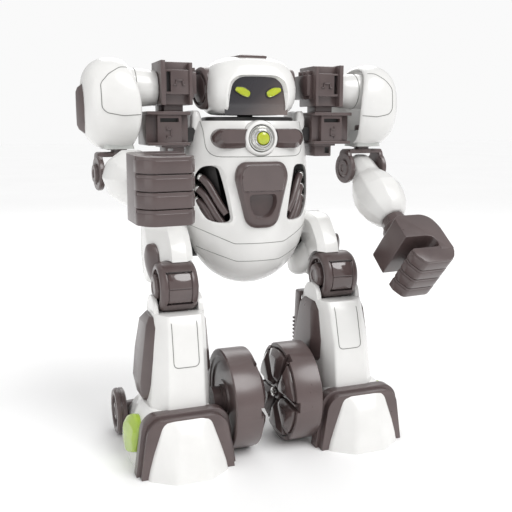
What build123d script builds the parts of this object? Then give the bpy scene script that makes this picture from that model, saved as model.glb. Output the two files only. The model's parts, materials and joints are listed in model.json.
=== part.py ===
"""Walking humanoid toy robot: white shells, dark joints, a lit chest button and wheeled feet.

Millimetres. +X is the robot's left, -Y its front, +Z up. Each limb is drawn straight, on the
robot's left side. It is then mirrored for the right side and turned into the rest pose.
At the end everything is shifted so that the origin is the middle of the bounding box's base.
"""
from build123d import *
from math import sqrt
import os

# ---------------------------------------------------------------- driving dimensions
WALL = 2.5                # shell thickness
RUNNING = 0.05            # radial clearance of a turning fit
GAP = 0.6                 # air between pieces that move past each other

# Egg-shaped torso
TORSO_BASE = 118.2
TORSO_TOP = 243.0
TORSO_WIDEST = 190.0      # height of the widest section
TORSO_HALF_WIDTH = 49.5
TORSO_HALF_DEPTH = 38.0
TORSO_Y = -4.5            # middle of the torso, front to back

# Head
HEAD_BASE = 246.5
HEAD_TOP = 290.0
HEAD_Y = -8.0
HEAD_HALF_WIDTH = 35.0
HEAD_HALF_DEPTH = 29.0
NECK_RADIUS = 6.0

# Arm, drawn hanging straight down
SHOULDER = (70.0, -12.0, 266.0)     # start of the shoulder pin
SHOULDER_PIN_RADIUS = 5.0
ELBOW = (98.0, -10.0, 206.0)
ELBOW_HALF_WIDTH = 17.0
ELBOW_DISC_RADIUS = 12.0
FOREARM_LENGTH = 58.0               # elbow axis to wrist joint
HAND_WIDTH = 36.0
HAND_STACK = 41.0                   # four fingers side by side
HAND_LENGTH = 45.0
WRIST_LENGTH = 14.0

# Leg
HIP = (45.0, 4.0, 146.0)
HIP_PIN_RADIUS = 5.0
KNEE = (62.5, -31.0, 124.0)
KNEE_RADIUS = 18.5
KNEE_HALF_WIDTH = 17.0
KNEE_PIN_RADIUS = 5.0
WHEEL_AXIS = (12.5, -45.0, 37.8)    # middle of the inner face of the big wheel
WHEEL_RADIUS = 37.5
WHEEL_WIDTH = 21.0
SIDE_WHEEL_AXIS = (98.0, 6.0, 18.3)
SIDE_WHEEL_RADIUS = 18.0

# Rest pose, in degrees
LEFT_SWIVEL = 6.0        # forearm turned outwards
LEFT_BEND = 50.0
RIGHT_SWIVEL = -5.0       # forearm turned inwards
RIGHT_BEND = 88.0

nodes = {}


def keep(name, solid):
    """Label a finished piece and remember it for export."""
    solid.label = name
    nodes[name] = solid


def egg_section(height, wall=0.0):
    """Half width and half depth of the torso at a height."""
    if height < TORSO_WIDEST:
        drop = (TORSO_WIDEST - height) / (TORSO_WIDEST - 117.5)
        width = (1 - drop ** 2.6) ** 0.5
        depth = (1 - drop ** 3.4) ** 0.5
    else:
        rise = (height - TORSO_WIDEST) / 90.0
        width = sqrt(1 - rise ** 2)
        depth = width
    return TORSO_HALF_WIDTH * width - wall, TORSO_HALF_DEPTH * depth - wall


def egg(heights, wall=0.0):
    """Solid egg through ellipses at the given heights."""
    with BuildPart() as body:
        for height in heights:
            half_width, half_depth = egg_section(height, wall)
            with BuildSketch(Plane.XY.offset(height)) as section:
                with Locations((0, TORSO_Y)):
                    Ellipse(half_width, half_depth)
        loft()
    return body.part


def slab(x_range, y_range, z_range):
    """Plain block between two corners, for cuts and small blocks."""
    size = [high - low for low, high in (x_range, y_range, z_range)]
    middle = [(high + low) / 2 for low, high in (x_range, y_range, z_range)]
    return Pos(*middle) * Box(*size, mode=Mode.PRIVATE)


def bar_x(radius, x_from, x_to, y, z):
    """Round bar along X."""
    rod = Cylinder(radius, x_to - x_from, mode=Mode.PRIVATE)
    return Pos((x_from + x_to) / 2, y, z) * Rot(0, 90, 0) * rod


def disc_x(radius, x_from, x_to, y, z, bevel):
    """Round disc along X with both rims bevelled."""
    plain = Cylinder(radius, x_to - x_from, mode=Mode.PRIVATE)
    plain = plain.chamfer(bevel, None, plain.edges().filter_by(GeomType.CIRCLE))
    return Pos((x_from + x_to) / 2, y, z) * Rot(0, 90, 0) * plain


def bar_y(radius, x, y_from, y_to, z):
    """Round bar along Y."""
    rod = Cylinder(radius, y_to - y_from, mode=Mode.PRIVATE)
    return Pos(x, (y_from + y_to) / 2, z) * Rot(90, 0, 0) * rod


def bar_z(radius, x, y, z_from, z_to):
    """Round bar along Z."""
    return Pos(x, y, (z_from + z_to) / 2) * Cylinder(radius, z_to - z_from, mode=Mode.PRIVATE)


# ---------------------------------------------------------------- chest trim
LAMP_Z = 230.5
LAMP_Y = -38.0            # back of the lamp collar
SHIELD_FRONT = -46.5
BAR_FRONT = -41.0
BUTTON_STEM = 3.0

with BuildPart() as chest_shield:
    with BuildSketch(Plane.XZ.offset(-SHIELD_FRONT - 8)) as outline:
        with BuildLine() as edge:
            Polyline((-14, 213.5), (14, 213.5), (18.5, 207), (11, 171), (6, 165.5),
                     (-6, 165.5), (-11, 171), (-18.5, 207), (-14, 213.5))
        make_face()
    extrude(amount=8)
    chamfer(chest_shield.faces().sort_by(Axis.Y)[0].edges(), length=1.8)
    with BuildSketch(Plane.XZ.offset(-SHIELD_FRONT)) as recess:
        with Locations((0, 181)):
            SlotOverall(15, 9)
    extrude(amount=-3, mode=Mode.SUBTRACT)
keep("chest_shield", chest_shield.part)

with BuildPart() as chest_bar:
    with BuildSketch(Plane.XZ.offset(-BAR_FRONT - 9)) as outline:
        with Locations((0, LAMP_Z)):
            SlotOverall(66, 15)
    extrude(amount=9)
    chamfer(chest_bar.faces().sort_by(Axis.Y)[0].edges(), length=1.8)
    add(bar_y(13.0, 0, -60, LAMP_Y + 4, LAMP_Z), mode=Mode.SUBTRACT)
    add(bar_y(BUTTON_STEM + RUNNING, 0, -60, -20, LAMP_Z), mode=Mode.SUBTRACT)
keep("chest_bar", chest_bar.part)

with BuildPart() as lamp_collar:
    with BuildSketch(Plane.XZ.offset(-LAMP_Y - 4)) as disc:
        with Locations((0, LAMP_Z)):
            Circle(13.0)
    extrude(amount=8)
    chamfer(lamp_collar.faces().sort_by(Axis.Y)[0].edges(), length=1.5)
    add(bar_y(9.5, 0, -60, LAMP_Y - 1, LAMP_Z), mode=Mode.SUBTRACT)
    add(bar_y(BUTTON_STEM + RUNNING, 0, -60, -20, LAMP_Z), mode=Mode.SUBTRACT)
keep("lamp_collar", lamp_collar.part)

with BuildPart() as lamp_ring:
    with BuildSketch(Plane.XZ.offset(-LAMP_Y + 1)) as disc:
        with Locations((0, LAMP_Z)):
            Circle(9.5)
            Circle(5.3, mode=Mode.SUBTRACT)
    extrude(amount=6)
    chamfer(lamp_ring.faces().sort_by(Axis.Y)[0].edges(), length=1.2)
keep("lamp_ring", lamp_ring.part)

with BuildPart() as chest_button:
    with BuildSketch(Plane.XZ.offset(-LAMP_Y + 3.4)) as lens:
        with Locations((0, LAMP_Z)):
            Circle(4.7)
    extrude(amount=5.6)
    fillet(chest_button.faces().sort_by(Axis.Y)[0].edges(), radius=1.2)
    with BuildSketch(Plane.XZ.offset(-LAMP_Y + 3.4)) as stem:
        with Locations((0, LAMP_Z)):
            Circle(BUTTON_STEM)
    extrude(amount=-9)
keep("chest_button", chest_button.part)

# ---------------------------------------------------------------- vents: diagonal pipes
VENT_X = 34.0
VENT_Z = 190.7
VENT_HEIGHT = 38.0
VENT_WIDTH = 20.0


def vent_hole(side):
    """Oval pocket in the chest wall."""
    with BuildPart() as hole:
        with BuildSketch(Plane.XZ.offset(20)) as oval:
            with Locations((side * VENT_X, VENT_Z)):
                SlotOverall(VENT_HEIGHT, VENT_WIDTH, rotation=90)
        extrude(amount=30)
    return hole.part


with BuildPart() as vent_pipes:
    for side in (-1, 1):
        with Locations((side * VENT_X, -20, VENT_Z)):
            Box(VENT_WIDTH + 6, 3, VENT_HEIGHT + 6)
        for row in range(4):
            lift = (row - 1.5) * 8.4
            pipe = Pos(side * VENT_X, -25, VENT_Z + lift) * Rot(0, -side * 40, 0) * Rot(0, 90, 0)
            add(pipe * Cylinder(3.6, 15, mode=Mode.PRIVATE))
keep("vent_pipes", vent_pipes.part)

# ---------------------------------------------------------------- inner parts of the torso
with BuildPart() as neck_well:
    with BuildSketch(Plane.XY.offset(TORSO_TOP - 4.5)) as tray:
        with BuildLine() as edge:
            Polyline((-33, -24), (33, -24), (27, 16), (-27, 16), (-33, -24))
        make_face()
    extrude(amount=6)
    fillet(neck_well.edges().filter_by(Axis.Z), radius=3)
    add(bar_z(NECK_RADIUS + 2, 0, HEAD_Y + 4, TORSO_TOP - 10, TORSO_TOP + 5), mode=Mode.SUBTRACT)
keep("neck_well", neck_well.part)

with BuildPart() as chassis:
    with Locations((0, 2, 187)):
        Box(54, 18, 96)
    for side in (-1, 1):
        with Locations((side * 12, 2, 187)):
            Box(17, 11, 74, mode=Mode.SUBTRACT)
    add(bar_z(NECK_RADIUS + 2, 0, HEAD_Y + 4, 226, TORSO_TOP + 1))
    add(bar_z(NECK_RADIUS, 0, HEAD_Y + 4, 235, HEAD_BASE + 10))
    add(bar_x(HIP_PIN_RADIUS + 2.3, -HIP[0] - 1, HIP[0] + 1, HIP[1], HIP[2]))
    add(bar_x(HIP_PIN_RADIUS, -HIP[0] - 16, HIP[0] + 16, HIP[1], HIP[2]))
    with Locations((0, -8, 233)):
        Box(98, 16, 10)
    with Locations((0, -19.5, 200)):
        Box(20, 25, 8)
    with Locations((0, 18, 231)):
        Box(16, 18, 8)
keep("chassis", chassis.part)

with BuildPart() as circuit_board:
    with Locations((0, 12.0, 213)):
        Box(44, 1.6, 24)
    with Locations((-12, 13.6, 214), (12, 13.6, 212)):
        Box(11, 2, 11)
keep("circuit_board", circuit_board.part)

with BuildPart() as loudspeaker:
    with Locations((0, -12, 172)):
        Box(30, 10, 30)
    add(bar_y(13, 0, -22, -16, 172))
    chamfer(loudspeaker.faces().sort_by(Axis.Y)[0].edges(), length=1.5)
keep("loudspeaker", loudspeaker.part)

CELL_RADIUS = 5.2
with BuildPart() as battery_cells:
    for column in (-1.5, -0.5, 0.5, 1.5):
        with Locations((column * 2 * (CELL_RADIUS + 0.3), 16.3, 177)):
            Cylinder(CELL_RADIUS, 43)
            with Locations((0, 0, 22)):
                Cylinder(2.0, 1.2)
keep("battery_cells", battery_cells.part)

DOOR_WIDTH = 52.0
DOOR_HEIGHT = 50.0
DOOR_Z = 174.0


def door_prism(grow):
    """Rounded block through the back wall, as wide and high as the door plus a margin."""
    with BuildPart() as prism:
        with BuildSketch(Plane.XZ.offset(-8)) as outline:
            with Locations((0, DOOR_Z)):
                RectangleRounded(DOOR_WIDTH + 2 * grow, DOOR_HEIGHT + 2 * grow, 5)
        extrude(amount=-50)
    return prism.part


OUTER_HEIGHTS = (TORSO_BASE, 122, 130, 142, 158, 176, 194, 212, 228, TORSO_TOP)
INNER_HEIGHTS = (122.5, 126, 132, 142, 158, 176, 194, 212, 228, TORSO_TOP - 6)
egg_outside = egg(OUTER_HEIGHTS)
egg_inside = egg(INNER_HEIGHTS, WALL)

with BuildPart() as battery_door:
    add(egg_outside)
    add(egg_inside, mode=Mode.SUBTRACT)
    add(door_prism(0), mode=Mode.INTERSECT)
    for row in range(5):
        with Locations((0, 34.4, DOOR_Z + 8 + 3 * row)):
            Box(24, 3, 1.4, mode=Mode.SUBTRACT)
keep("battery_door", battery_door.part)

SWITCH_Z = 212.0
with BuildPart() as power_switch:
    with Locations((0, 33.4, SWITCH_Z)):
        Box(7, 4, 7)
    with Locations((0, 29, SWITCH_Z)):
        Box(4, 7, 4)
    for ridge in (-2, 0, 2):
        with Locations((ridge, 35.4, SWITCH_Z)):
            Box(0.8, 0.8, 7)
keep("power_switch", power_switch.part)

screw_spots = [(x, z) for x in (-36, 36) for z in (172, 222)] + [(0, 129)]
with BuildPart() as body_screws:
    for x, z in screw_spots:
        half_width, half_depth = egg_section(z)
        back = TORSO_Y + half_depth * sqrt(1 - (x / half_width) ** 2)
        add(bar_y(3.2, x, back - 6, back - 2, z))
        add(bar_y(1.5, x, back - 16, back - 5, z))
keep("body_screws", body_screws.part)

# ---------------------------------------------------------------- torso shells
with BuildPart() as collar_horns:
    for side in (-1, 1):
        with Locations((side * 42.2, -2, 239)):
            Box(7.5, 32, 23)
    chamfer(collar_horns.faces().group_by(Axis.Z)[-1].edges(), length=2)

chest_pieces = (chest_shield, chest_bar, lamp_collar, neck_well, chassis, vent_pipes)


def torso_shell(y_range):
    """One half of the torso, cut free for everything that sits in its wall."""
    with BuildPart() as shell:
        add(egg_outside)
        add(collar_horns.part)
        add(egg_inside, mode=Mode.SUBTRACT)
        add(slab((-80, 80), y_range, (100, 260)), mode=Mode.INTERSECT)
        for piece in chest_pieces:
            add(piece.part, mode=Mode.SUBTRACT)
        add(bar_y(13.0, 0, -60, LAMP_Y + 4, LAMP_Z), mode=Mode.SUBTRACT)
        add(bar_y(BUTTON_STEM + RUNNING, 0, -60, -20, LAMP_Z), mode=Mode.SUBTRACT)
        add(door_prism(0.3), mode=Mode.SUBTRACT)
        for side in (-1, 1):
            add(vent_hole(side), mode=Mode.SUBTRACT)
        add(slab((-6, 6), (25, 45), (SWITCH_Z - 2.6, SWITCH_Z + 2.6)), mode=Mode.SUBTRACT)
        add(slab((-8, 8), (31, 45), (SWITCH_Z - 4.5, SWITCH_Z + 4.5)), mode=Mode.SUBTRACT)
        for x, z in screw_spots:
            half_width, half_depth = egg_section(z)
            back = TORSO_Y + half_depth * sqrt(1 - (x / half_width) ** 2)
            add(bar_y(3.2, x, back - 6, back + 5, z), mode=Mode.SUBTRACT)
            add(bar_y(1.5, x, back - 16, back - 5, z), mode=Mode.SUBTRACT)
    return Part(shell.part.solids().sort_by(SortBy.VOLUME)[-1].wrapped)


keep("torso_front_shell", torso_shell((-70, TORSO_Y)))
keep("torso_back_shell", torso_shell((TORSO_Y, 70)))

# ---------------------------------------------------------------- head
head_stations = ((HEAD_BASE, 27, 21), (256, 34, 27), (266, HEAD_HALF_WIDTH, HEAD_HALF_DEPTH),
                 (278, 34, 28), (286, 30, 24), (HEAD_TOP, 23, 18))
VISOR_FRONT = HEAD_Y - HEAD_HALF_DEPTH - 1.0

with BuildPart() as visor:
    with BuildSketch(Plane.XZ.offset(-VISOR_FRONT - 9)) as window:
        with BuildLine() as edge:
            Polyline((-25, 249), (25, 249), (22, 266), (18, 275), (-18, 275), (-22, 266),
                     (-25, 249))
        make_face()
        fillet(window.vertices(), radius=2.5)
    extrude(amount=8)
keep("visor", visor.part)

with BuildPart() as eye_lenses:
    for side in (-1, 1):
        with BuildSketch(Plane.XZ.offset(-VISOR_FRONT)) as eye:
            with Locations(Location((side * 10.5, 262.8), side * 18)):
                SlotOverall(12, 4.6)
        extrude(amount=1.2, both=True)
keep("eye_lenses", eye_lenses.part)
with BuildPart() as visor_cut:
    add(visor.part)
    add(eye_lenses.part, mode=Mode.SUBTRACT)
keep("visor", visor_cut.part)

EAR_Z = 266.0
with BuildPart() as head_trim:
    for side in (-1, 1):
        with BuildSketch(Plane.YZ.offset(side * 33)) as ear:
            with Locations((HEAD_Y + 6, EAR_Z)):
                Ellipse(11, 13)
        extrude(amount=side * 6.5)
    chamfer(head_trim.faces().sort_by(Axis.X)[0].edges(), length=1.5)
    chamfer(head_trim.faces().sort_by(Axis.X)[-1].edges(), length=1.5)
    with Locations((0, HEAD_Y, HEAD_TOP - 0.5)):
        Box(22, 32, 3)
keep("head_trim", head_trim.part)

with BuildPart() as head_shell:
    for height, half_width, half_depth in head_stations:
        with BuildSketch(Plane.XY.offset(height)) as section:
            with Locations((0, HEAD_Y)):
                RectangleRounded(2 * half_width, 2 * half_depth, min(half_width, half_depth) * 0.6)
    loft()
    with Locations((0, HEAD_Y + 6, 272)):
        Box(42, 26, 20, mode=Mode.SUBTRACT)
    add(slab((-21, 21), (-31, HEAD_Y - 6), (251, 273)), mode=Mode.SUBTRACT)
    add(visor.part, mode=Mode.SUBTRACT)
    add(Pos(0, -6, 0) * visor.part, mode=Mode.SUBTRACT)
    add(head_trim.part, mode=Mode.SUBTRACT)
    neck_top = HEAD_BASE + 10.6
    add(bar_z(NECK_RADIUS + RUNNING, 0, HEAD_Y + 4, 240, neck_top), mode=Mode.SUBTRACT)
keep("head_shell", head_shell.part)


# ---------------------------------------------------------------- arm, left side, hanging
def notched_block(x_range, y_range, z_range, slot_axis):
    """H-section plastic block: two flanges, a recess between them and a slot through it."""
    block = slab(x_range, y_range, z_range)
    low_y = y_range[0]
    x_mid = sum(x_range) / 2
    z_mid = sum(z_range) / 2
    width = x_range[1] - x_range[0]
    height = z_range[1] - z_range[0]
    if slot_axis == "Z":
        for end in (z_range[0], z_range[1]):
            cut = slab((x_mid - width * 0.2, x_mid + width * 0.2), (low_y - 1, low_y + 8),
                       (end - height * 0.22, end + height * 0.22))
            block = block - cut
        slot = slab((x_mid - 2, x_mid + 2), (low_y - 1, low_y + 5), (z_mid - 5, z_mid + 5))
    else:
        for end in (x_range[0], x_range[1]):
            cut = slab((end - width * 0.16, end + width * 0.16), (low_y - 1, low_y + 8),
                       (z_mid - height * 0.2, z_mid + height * 0.2))
            block = block - cut
        slot = slab((x_mid - 5, x_mid + 5), (low_y - 1, low_y + 5), (z_mid - 2, z_mid + 2))
    return block - slot


with BuildPart() as shoulder_blocks:
    add(notched_block((43, 70), (-30, 2), (254, 284), "Z"))
    add(notched_block((49, 82.5), (-26, 10), (225.5, 249.5), "X"))
    add(slab((52, 66), (-22, -2), (249, 255)))
    add(slab((52, 66), (-20, 0), (216, 226)))
    add(slab((56, 62), (-21, 1), (218.5, 223)), mode=Mode.SUBTRACT)
    add(bar_x(SHOULDER_PIN_RADIUS, SHOULDER[0] - 4, SHOULDER[0] + 22, SHOULDER[1], SHOULDER[2]))

with BuildPart() as elbow_joint:
    add(bar_x(4.0, ELBOW[0] - ELBOW_HALF_WIDTH, ELBOW[0] + ELBOW_HALF_WIDTH, ELBOW[1], ELBOW[2]))
    for side in (-1, 1):
        near = ELBOW[0] + side * (ELBOW_HALF_WIDTH - 4)
        far = ELBOW[0] + side * ELBOW_HALF_WIDTH
        add(bar_x(ELBOW_DISC_RADIUS, min(near, far), max(near, far), ELBOW[1], ELBOW[2]))
        tip = far + side * 2
        add(bar_x(7.0, min(far, tip), max(far, tip), ELBOW[1], ELBOW[2]))
    add(bar_x(9.0, ELBOW[0] - 4.5, ELBOW[0] + 4.5, ELBOW[1], ELBOW[2]))
    add(slab((ELBOW[0] - 4.5, ELBOW[0] + 4.5), (ELBOW[1] - 5, ELBOW[1] + 5),
             (ELBOW[2], ELBOW[2] + 13)))
    add(bar_z(8.0, ELBOW[0], ELBOW[1], ELBOW[2] + 12.2, ELBOW[2] + 15))
    add(bar_z(6.0, ELBOW[0], ELBOW[1], ELBOW[2] + 12.2, ELBOW[2] + 34))

ARM_PROFILE = ((-36, 262), (-26, 283), (6, 287), (24, 272), (25, 244), (12, 222), (-18, 222),
               (-34, 240))
ARM_INNER = 83.5
ARM_OUTER = 127.5
ARM_CENTRE = (-6.0, 253.0)


def arm_section(scale):
    """Arm profile drawn towards its middle by a factor."""
    centre_y, centre_z = ARM_CENTRE
    points = [(centre_y + (y - centre_y) * scale, centre_z + (z - centre_z) * scale)
              for y, z in ARM_PROFILE]
    return points + [points[0]]


with BuildPart() as upper_arm_cap:
    with BuildSketch(Plane.YZ.offset(ARM_OUTER - 2)) as oval:
        with Locations(ARM_CENTRE):
            Ellipse(9.5, 12)
    extrude(amount=2.5)

with BuildPart() as upper_arm_shell:
    for x, scale in ((ARM_INNER, 0.93), (95, 1.0), (112, 0.97), (122, 0.82), (ARM_OUTER, 0.62)):
        with BuildSketch(Plane.YZ.offset(x)) as section:
            with BuildLine() as edge:
                Polyline(*arm_section(scale))
            make_face()
    loft(ruled=True)
    add(bar_x(13.0, SHOULDER[0] + GAP, ARM_INNER + 1, SHOULDER[1], SHOULDER[2]))
    reach = SHOULDER[0] + 22.5
    add(bar_x(SHOULDER_PIN_RADIUS + RUNNING, 60, reach, SHOULDER[1], SHOULDER[2]),
        mode=Mode.SUBTRACT)
    add(bar_z(8.6, ELBOW[0], ELBOW[1], ELBOW[2], ELBOW[2] + 15.6), mode=Mode.SUBTRACT)
    add(bar_z(6.0 + RUNNING, ELBOW[0], ELBOW[1], ELBOW[2] + 12, ELBOW[2] + 34.6),
        mode=Mode.SUBTRACT)
    add(upper_arm_cap.part, mode=Mode.SUBTRACT)

forearm_base = ELBOW[2] - FOREARM_LENGTH
with BuildPart() as forearm_shell:
    for z, half in ((ELBOW[2] - 9, 9), (ELBOW[2] - 20, 15.5), (ELBOW[2] - 36, 16.5),
                    (forearm_base + 8, 13.5), (forearm_base, 9)):
        with BuildSketch(Plane.XY.offset(z)) as section:
            with Locations((ELBOW[0], ELBOW[1])):
                RegularPolygon(half * 1.04, 10)
    loft(ruled=True)
    for side in (-1, 1):
        cheek_near = ELBOW[0] + side * 5.1
        cheek_far = ELBOW[0] + side * (ELBOW_HALF_WIDTH - 4 - GAP)
        x_low = min(cheek_near, cheek_far)
        x_high = max(cheek_near, cheek_far)
        add(bar_x(10.5, x_low, x_high, ELBOW[1], ELBOW[2]))
        add(slab((x_low, x_high), (ELBOW[1] - 10.5, ELBOW[1] + 10.5),
                 (ELBOW[2] - 20, ELBOW[2])))
    add(slab((ELBOW[0] - 5.1, ELBOW[0] + 5.1), (ELBOW[1] - 30, ELBOW[1] + 30),
             (ELBOW[2] - 11, ELBOW[2] + 20)), mode=Mode.SUBTRACT)
    for side in (-1, 1):
        near = ELBOW[0] + side * (ELBOW_HALF_WIDTH - 4 - GAP)
        far = ELBOW[0] + side * 30
        add(bar_x(ELBOW_DISC_RADIUS + GAP, min(near, far), max(near, far), ELBOW[1], ELBOW[2]),
            mode=Mode.SUBTRACT)
    add(bar_x(4.0 + RUNNING, 70, 130, ELBOW[1], ELBOW[2]), mode=Mode.SUBTRACT)
    add(bar_z(4.0 + RUNNING, ELBOW[0], ELBOW[1], forearm_base - 1, forearm_base + 12.5),
        mode=Mode.SUBTRACT)

wrist_top = forearm_base - GAP
with BuildPart() as wrist:
    add(bar_z(4.0, ELBOW[0], ELBOW[1], wrist_top - 4, forearm_base + 12))
    with BuildSketch(Plane.XY.offset(wrist_top)) as cuff:
        with Locations((ELBOW[0], ELBOW[1])):
            RegularPolygon(9.5, 10)
    extrude(amount=-7)
    with BuildSketch(Plane.XY.offset(wrist_top - 7)) as cuff:
        with Locations((ELBOW[0], ELBOW[1])):
            RegularPolygon(12.0, 10)
    extrude(amount=7 - WRIST_LENGTH)

hand_top = wrist_top - WRIST_LENGTH
hand_base = hand_top - HAND_LENGTH
SLOT_WIDTH = 10.0
with BuildPart() as fist:
    hand_low_x = ELBOW[0] - HAND_WIDTH / 2
    hand_high_x = ELBOW[0] + HAND_WIDTH / 2
    hand_low_y = ELBOW[1] - HAND_STACK / 2
    hand_high_y = ELBOW[1] + HAND_STACK / 2
    add(slab((hand_low_x, hand_high_x), (hand_low_y, hand_high_y), (hand_base, hand_top)))
    chamfer(fist.edges().filter_by(Axis.Y), length=5)
    chamfer(fist.faces().sort_by(Axis.Z)[-1].edges().filter_by(Axis.X), length=4)
    grip_low = hand_base + 14
    add(slab((hand_low_x + 10, hand_high_x - 12), (-60, 60), (grip_low, grip_low + SLOT_WIDTH)),
        mode=Mode.SUBTRACT)
    add(slab((hand_low_x - 1, hand_low_x + 12), (-60, 60),
             (grip_low + SLOT_WIDTH - 6, grip_low + SLOT_WIDTH)), mode=Mode.SUBTRACT)
    for finger in (1, 2, 3):
        y = hand_low_y + finger * HAND_STACK / 4
        groove = slab((hand_low_x - 1, hand_high_x + 1), (y - 0.9, y + 0.9),
                      (hand_base - 1, hand_base + 2))
        add(groove, mode=Mode.SUBTRACT)
        for x in (hand_low_x, hand_high_x):
            add(slab((x - 1.6, x + 1.6), (y - 0.9, y + 0.9), (hand_base - 1, hand_base + 20)),
                mode=Mode.SUBTRACT)


# ---------------------------------------------------------------- leg, left side
with BuildPart() as knee_barrel:
    add(disc_x(KNEE_RADIUS, KNEE[0] - KNEE_HALF_WIDTH, KNEE[0] + KNEE_HALF_WIDTH, KNEE[1],
               KNEE[2], 3))
    for side in (-1, 1):
        face = KNEE[0] + side * KNEE_HALF_WIDTH
        inner = face - side * 2
        add(bar_x(12.0, min(face, inner), max(face, inner), KNEE[1], KNEE[2]), mode=Mode.SUBTRACT)
        with BuildSketch(Plane.YZ.offset(inner - side * 1)) as hub:
            with Locations((KNEE[1], KNEE[2])):
                RegularPolygon(9.5, 8)
        extrude(amount=side * 4)
    add(bar_x(15.5, KNEE[0] - 7, KNEE[0] + 7, KNEE[1], KNEE[2]), mode=Mode.SUBTRACT)
    add(slab((KNEE[0] - 7, KNEE[0] + 7), (KNEE[1] - 17, KNEE[1] + 17),
             (KNEE[2] - 20, KNEE[2] - 4)), mode=Mode.SUBTRACT)
    add(bar_x(KNEE_PIN_RADIUS, KNEE[0] - 8, KNEE[0] + 8, KNEE[1], KNEE[2]))

with BuildPart() as thigh_cap:
    with BuildSketch(Plane.YZ.offset(73)) as oval:
        with Locations((HIP[1], HIP[2] + 2)):
            Ellipse(12, 15)
    extrude(amount=6)
    chamfer(thigh_cap.faces().sort_by(Axis.X)[-1].edges(), length=1.5)

THIGH_INNER = 50.0
THIGH_OUTER = 77.0
with BuildPart() as thigh_shell:
    with BuildSketch(Plane.YZ.offset(THIGH_INNER)) as side_view:
        with BuildLine() as edge:
            Polyline((-44, 140), (-20, 168), (6, 172), (24, 161), (27, 140), (12, 124),
                     (-12, 117), (-31, 118), (-44, 140))
        make_face()
    extrude(amount=THIGH_OUTER - THIGH_INNER)
    chamfer(thigh_shell.faces().sort_by(Axis.X)[-1].edges(), length=4)
    add(knee_barrel.part, mode=Mode.SUBTRACT)
    add(bar_x(KNEE_RADIUS, KNEE[0] - KNEE_HALF_WIDTH, KNEE[0] + KNEE_HALF_WIDTH, KNEE[1], KNEE[2]),
        mode=Mode.SUBTRACT)
    add(bar_x(HIP_PIN_RADIUS + RUNNING, 40, HIP[0] + 16.5, HIP[1], HIP[2]), mode=Mode.SUBTRACT)
    add(thigh_cap.part, mode=Mode.SUBTRACT)

with BuildPart() as calf_panels:
    with BuildSketch(Plane.YZ.offset(84)) as outer_side:
        with BuildLine() as edge:
            Polyline((-44, 98), (-22, 104), (-14, 92), (-16, 60), (-30, 46), (-44, 72), (-44, 98))
        make_face()
    extrude(amount=6)
    chamfer(calf_panels.faces().sort_by(Axis.X)[-1].edges(), length=2.5)
    with BuildSketch(Plane.YZ.offset(43)) as inner_side:
        with BuildLine() as edge:
            Polyline((-40, 96), (-22, 102), (-14, 90), (-14, 82), (-40, 82), (-40, 96))
        make_face()
    extrude(amount=5)
    with Locations((66, -9, 76)):
        Box(16, 9, 62)
    with Locations((66, -6, 78)):
        Box(8, 8, 26, mode=Mode.SUBTRACT)
    for tooth in range(5):
        with Locations((66, -4, 100 - 3.2 * tooth)):
            Box(14, 2, 1.4)

with BuildPart() as shin_shell:
    for z, x_mid, width, y_front, y_back in ((41.5, 70, 42, -67, -18), (76, 67.5, 41, -63, -12),
                                             (112, 64, 38, -53, -14)):
        with BuildSketch(Plane.XY.offset(z)) as section:
            with Locations((x_mid, (y_front + y_back) / 2)):
                RectangleRounded(width, y_back - y_front, 7)
    loft()
    add(bar_x(KNEE_RADIUS + GAP, 30, 100, KNEE[1], KNEE[2]), mode=Mode.SUBTRACT)
    add(slab((30, 100), (KNEE[1], 20), (106, 125)), mode=Mode.SUBTRACT)
    for x_low in (52, 68):
        add(slab((x_low, x_low + 12), (-56, -24), (40, 95)), mode=Mode.SUBTRACT)
    tongue_low = KNEE[0] - 6.4
    tongue_high = KNEE[0] + 6.4
    add(bar_x(14.5, tongue_low, tongue_high, KNEE[1], KNEE[2]))
    add(slab((tongue_low, tongue_high), (KNEE[1] - 8, KNEE[1] + 8), (KNEE[2] - 30, KNEE[2])))
    add(bar_x(KNEE_PIN_RADIUS + RUNNING, 40, 90, KNEE[1], KNEE[2]), mode=Mode.SUBTRACT)
    add(calf_panels.part, mode=Mode.SUBTRACT)

with BuildPart() as foot_lamp:
    with BuildSketch(Plane.YZ.offset(94)) as shield:
        with BuildLine() as edge:
            Polyline((-60, 30), (-44, 34), (-32, 28), (-34, 12), (-46, 7), (-60, 12), (-60, 30))
        make_face()
    extrude(amount=7)
    chamfer(foot_lamp.faces().sort_by(Axis.X)[-1].edges(), length=2)

with BuildPart() as foot_trim:
    for y, grow, depth in ((-66, 0, 7), (-73, -2.5, 7)):
        with BuildSketch(Plane.XZ.offset(-y)) as arch:
            with BuildLine() as edge:
                Polyline((35.5 - grow, 0), (101.5 + grow, 0), (96 + grow, 34), (89, 40 + grow),
                         (47, 40 + grow), (40.5 - grow, 34), (35.5 - grow, 0))
            make_face()
        extrude(amount=depth)

with BuildPart() as toe_cap:
    for y, low_x, high_x, top in ((-80, 42, 95, 34), (-88, 44, 93, 27), (-94, 48, 89, 16)):
        with BuildSketch(Plane.XZ.offset(-y)) as section:
            with BuildLine() as edge:
                Polyline((low_x, 0), (high_x, 0), (high_x - 2, top * 0.75), (high_x - 12, top),
                         (low_x + 12, top), (low_x + 2, top * 0.75), (low_x, 0))
            make_face()
    loft(ruled=True)

axle_x = WHEEL_AXIS[0]
hub_y = SIDE_WHEEL_AXIS[1]
hub_z = SIDE_WHEEL_AXIS[2]

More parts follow.
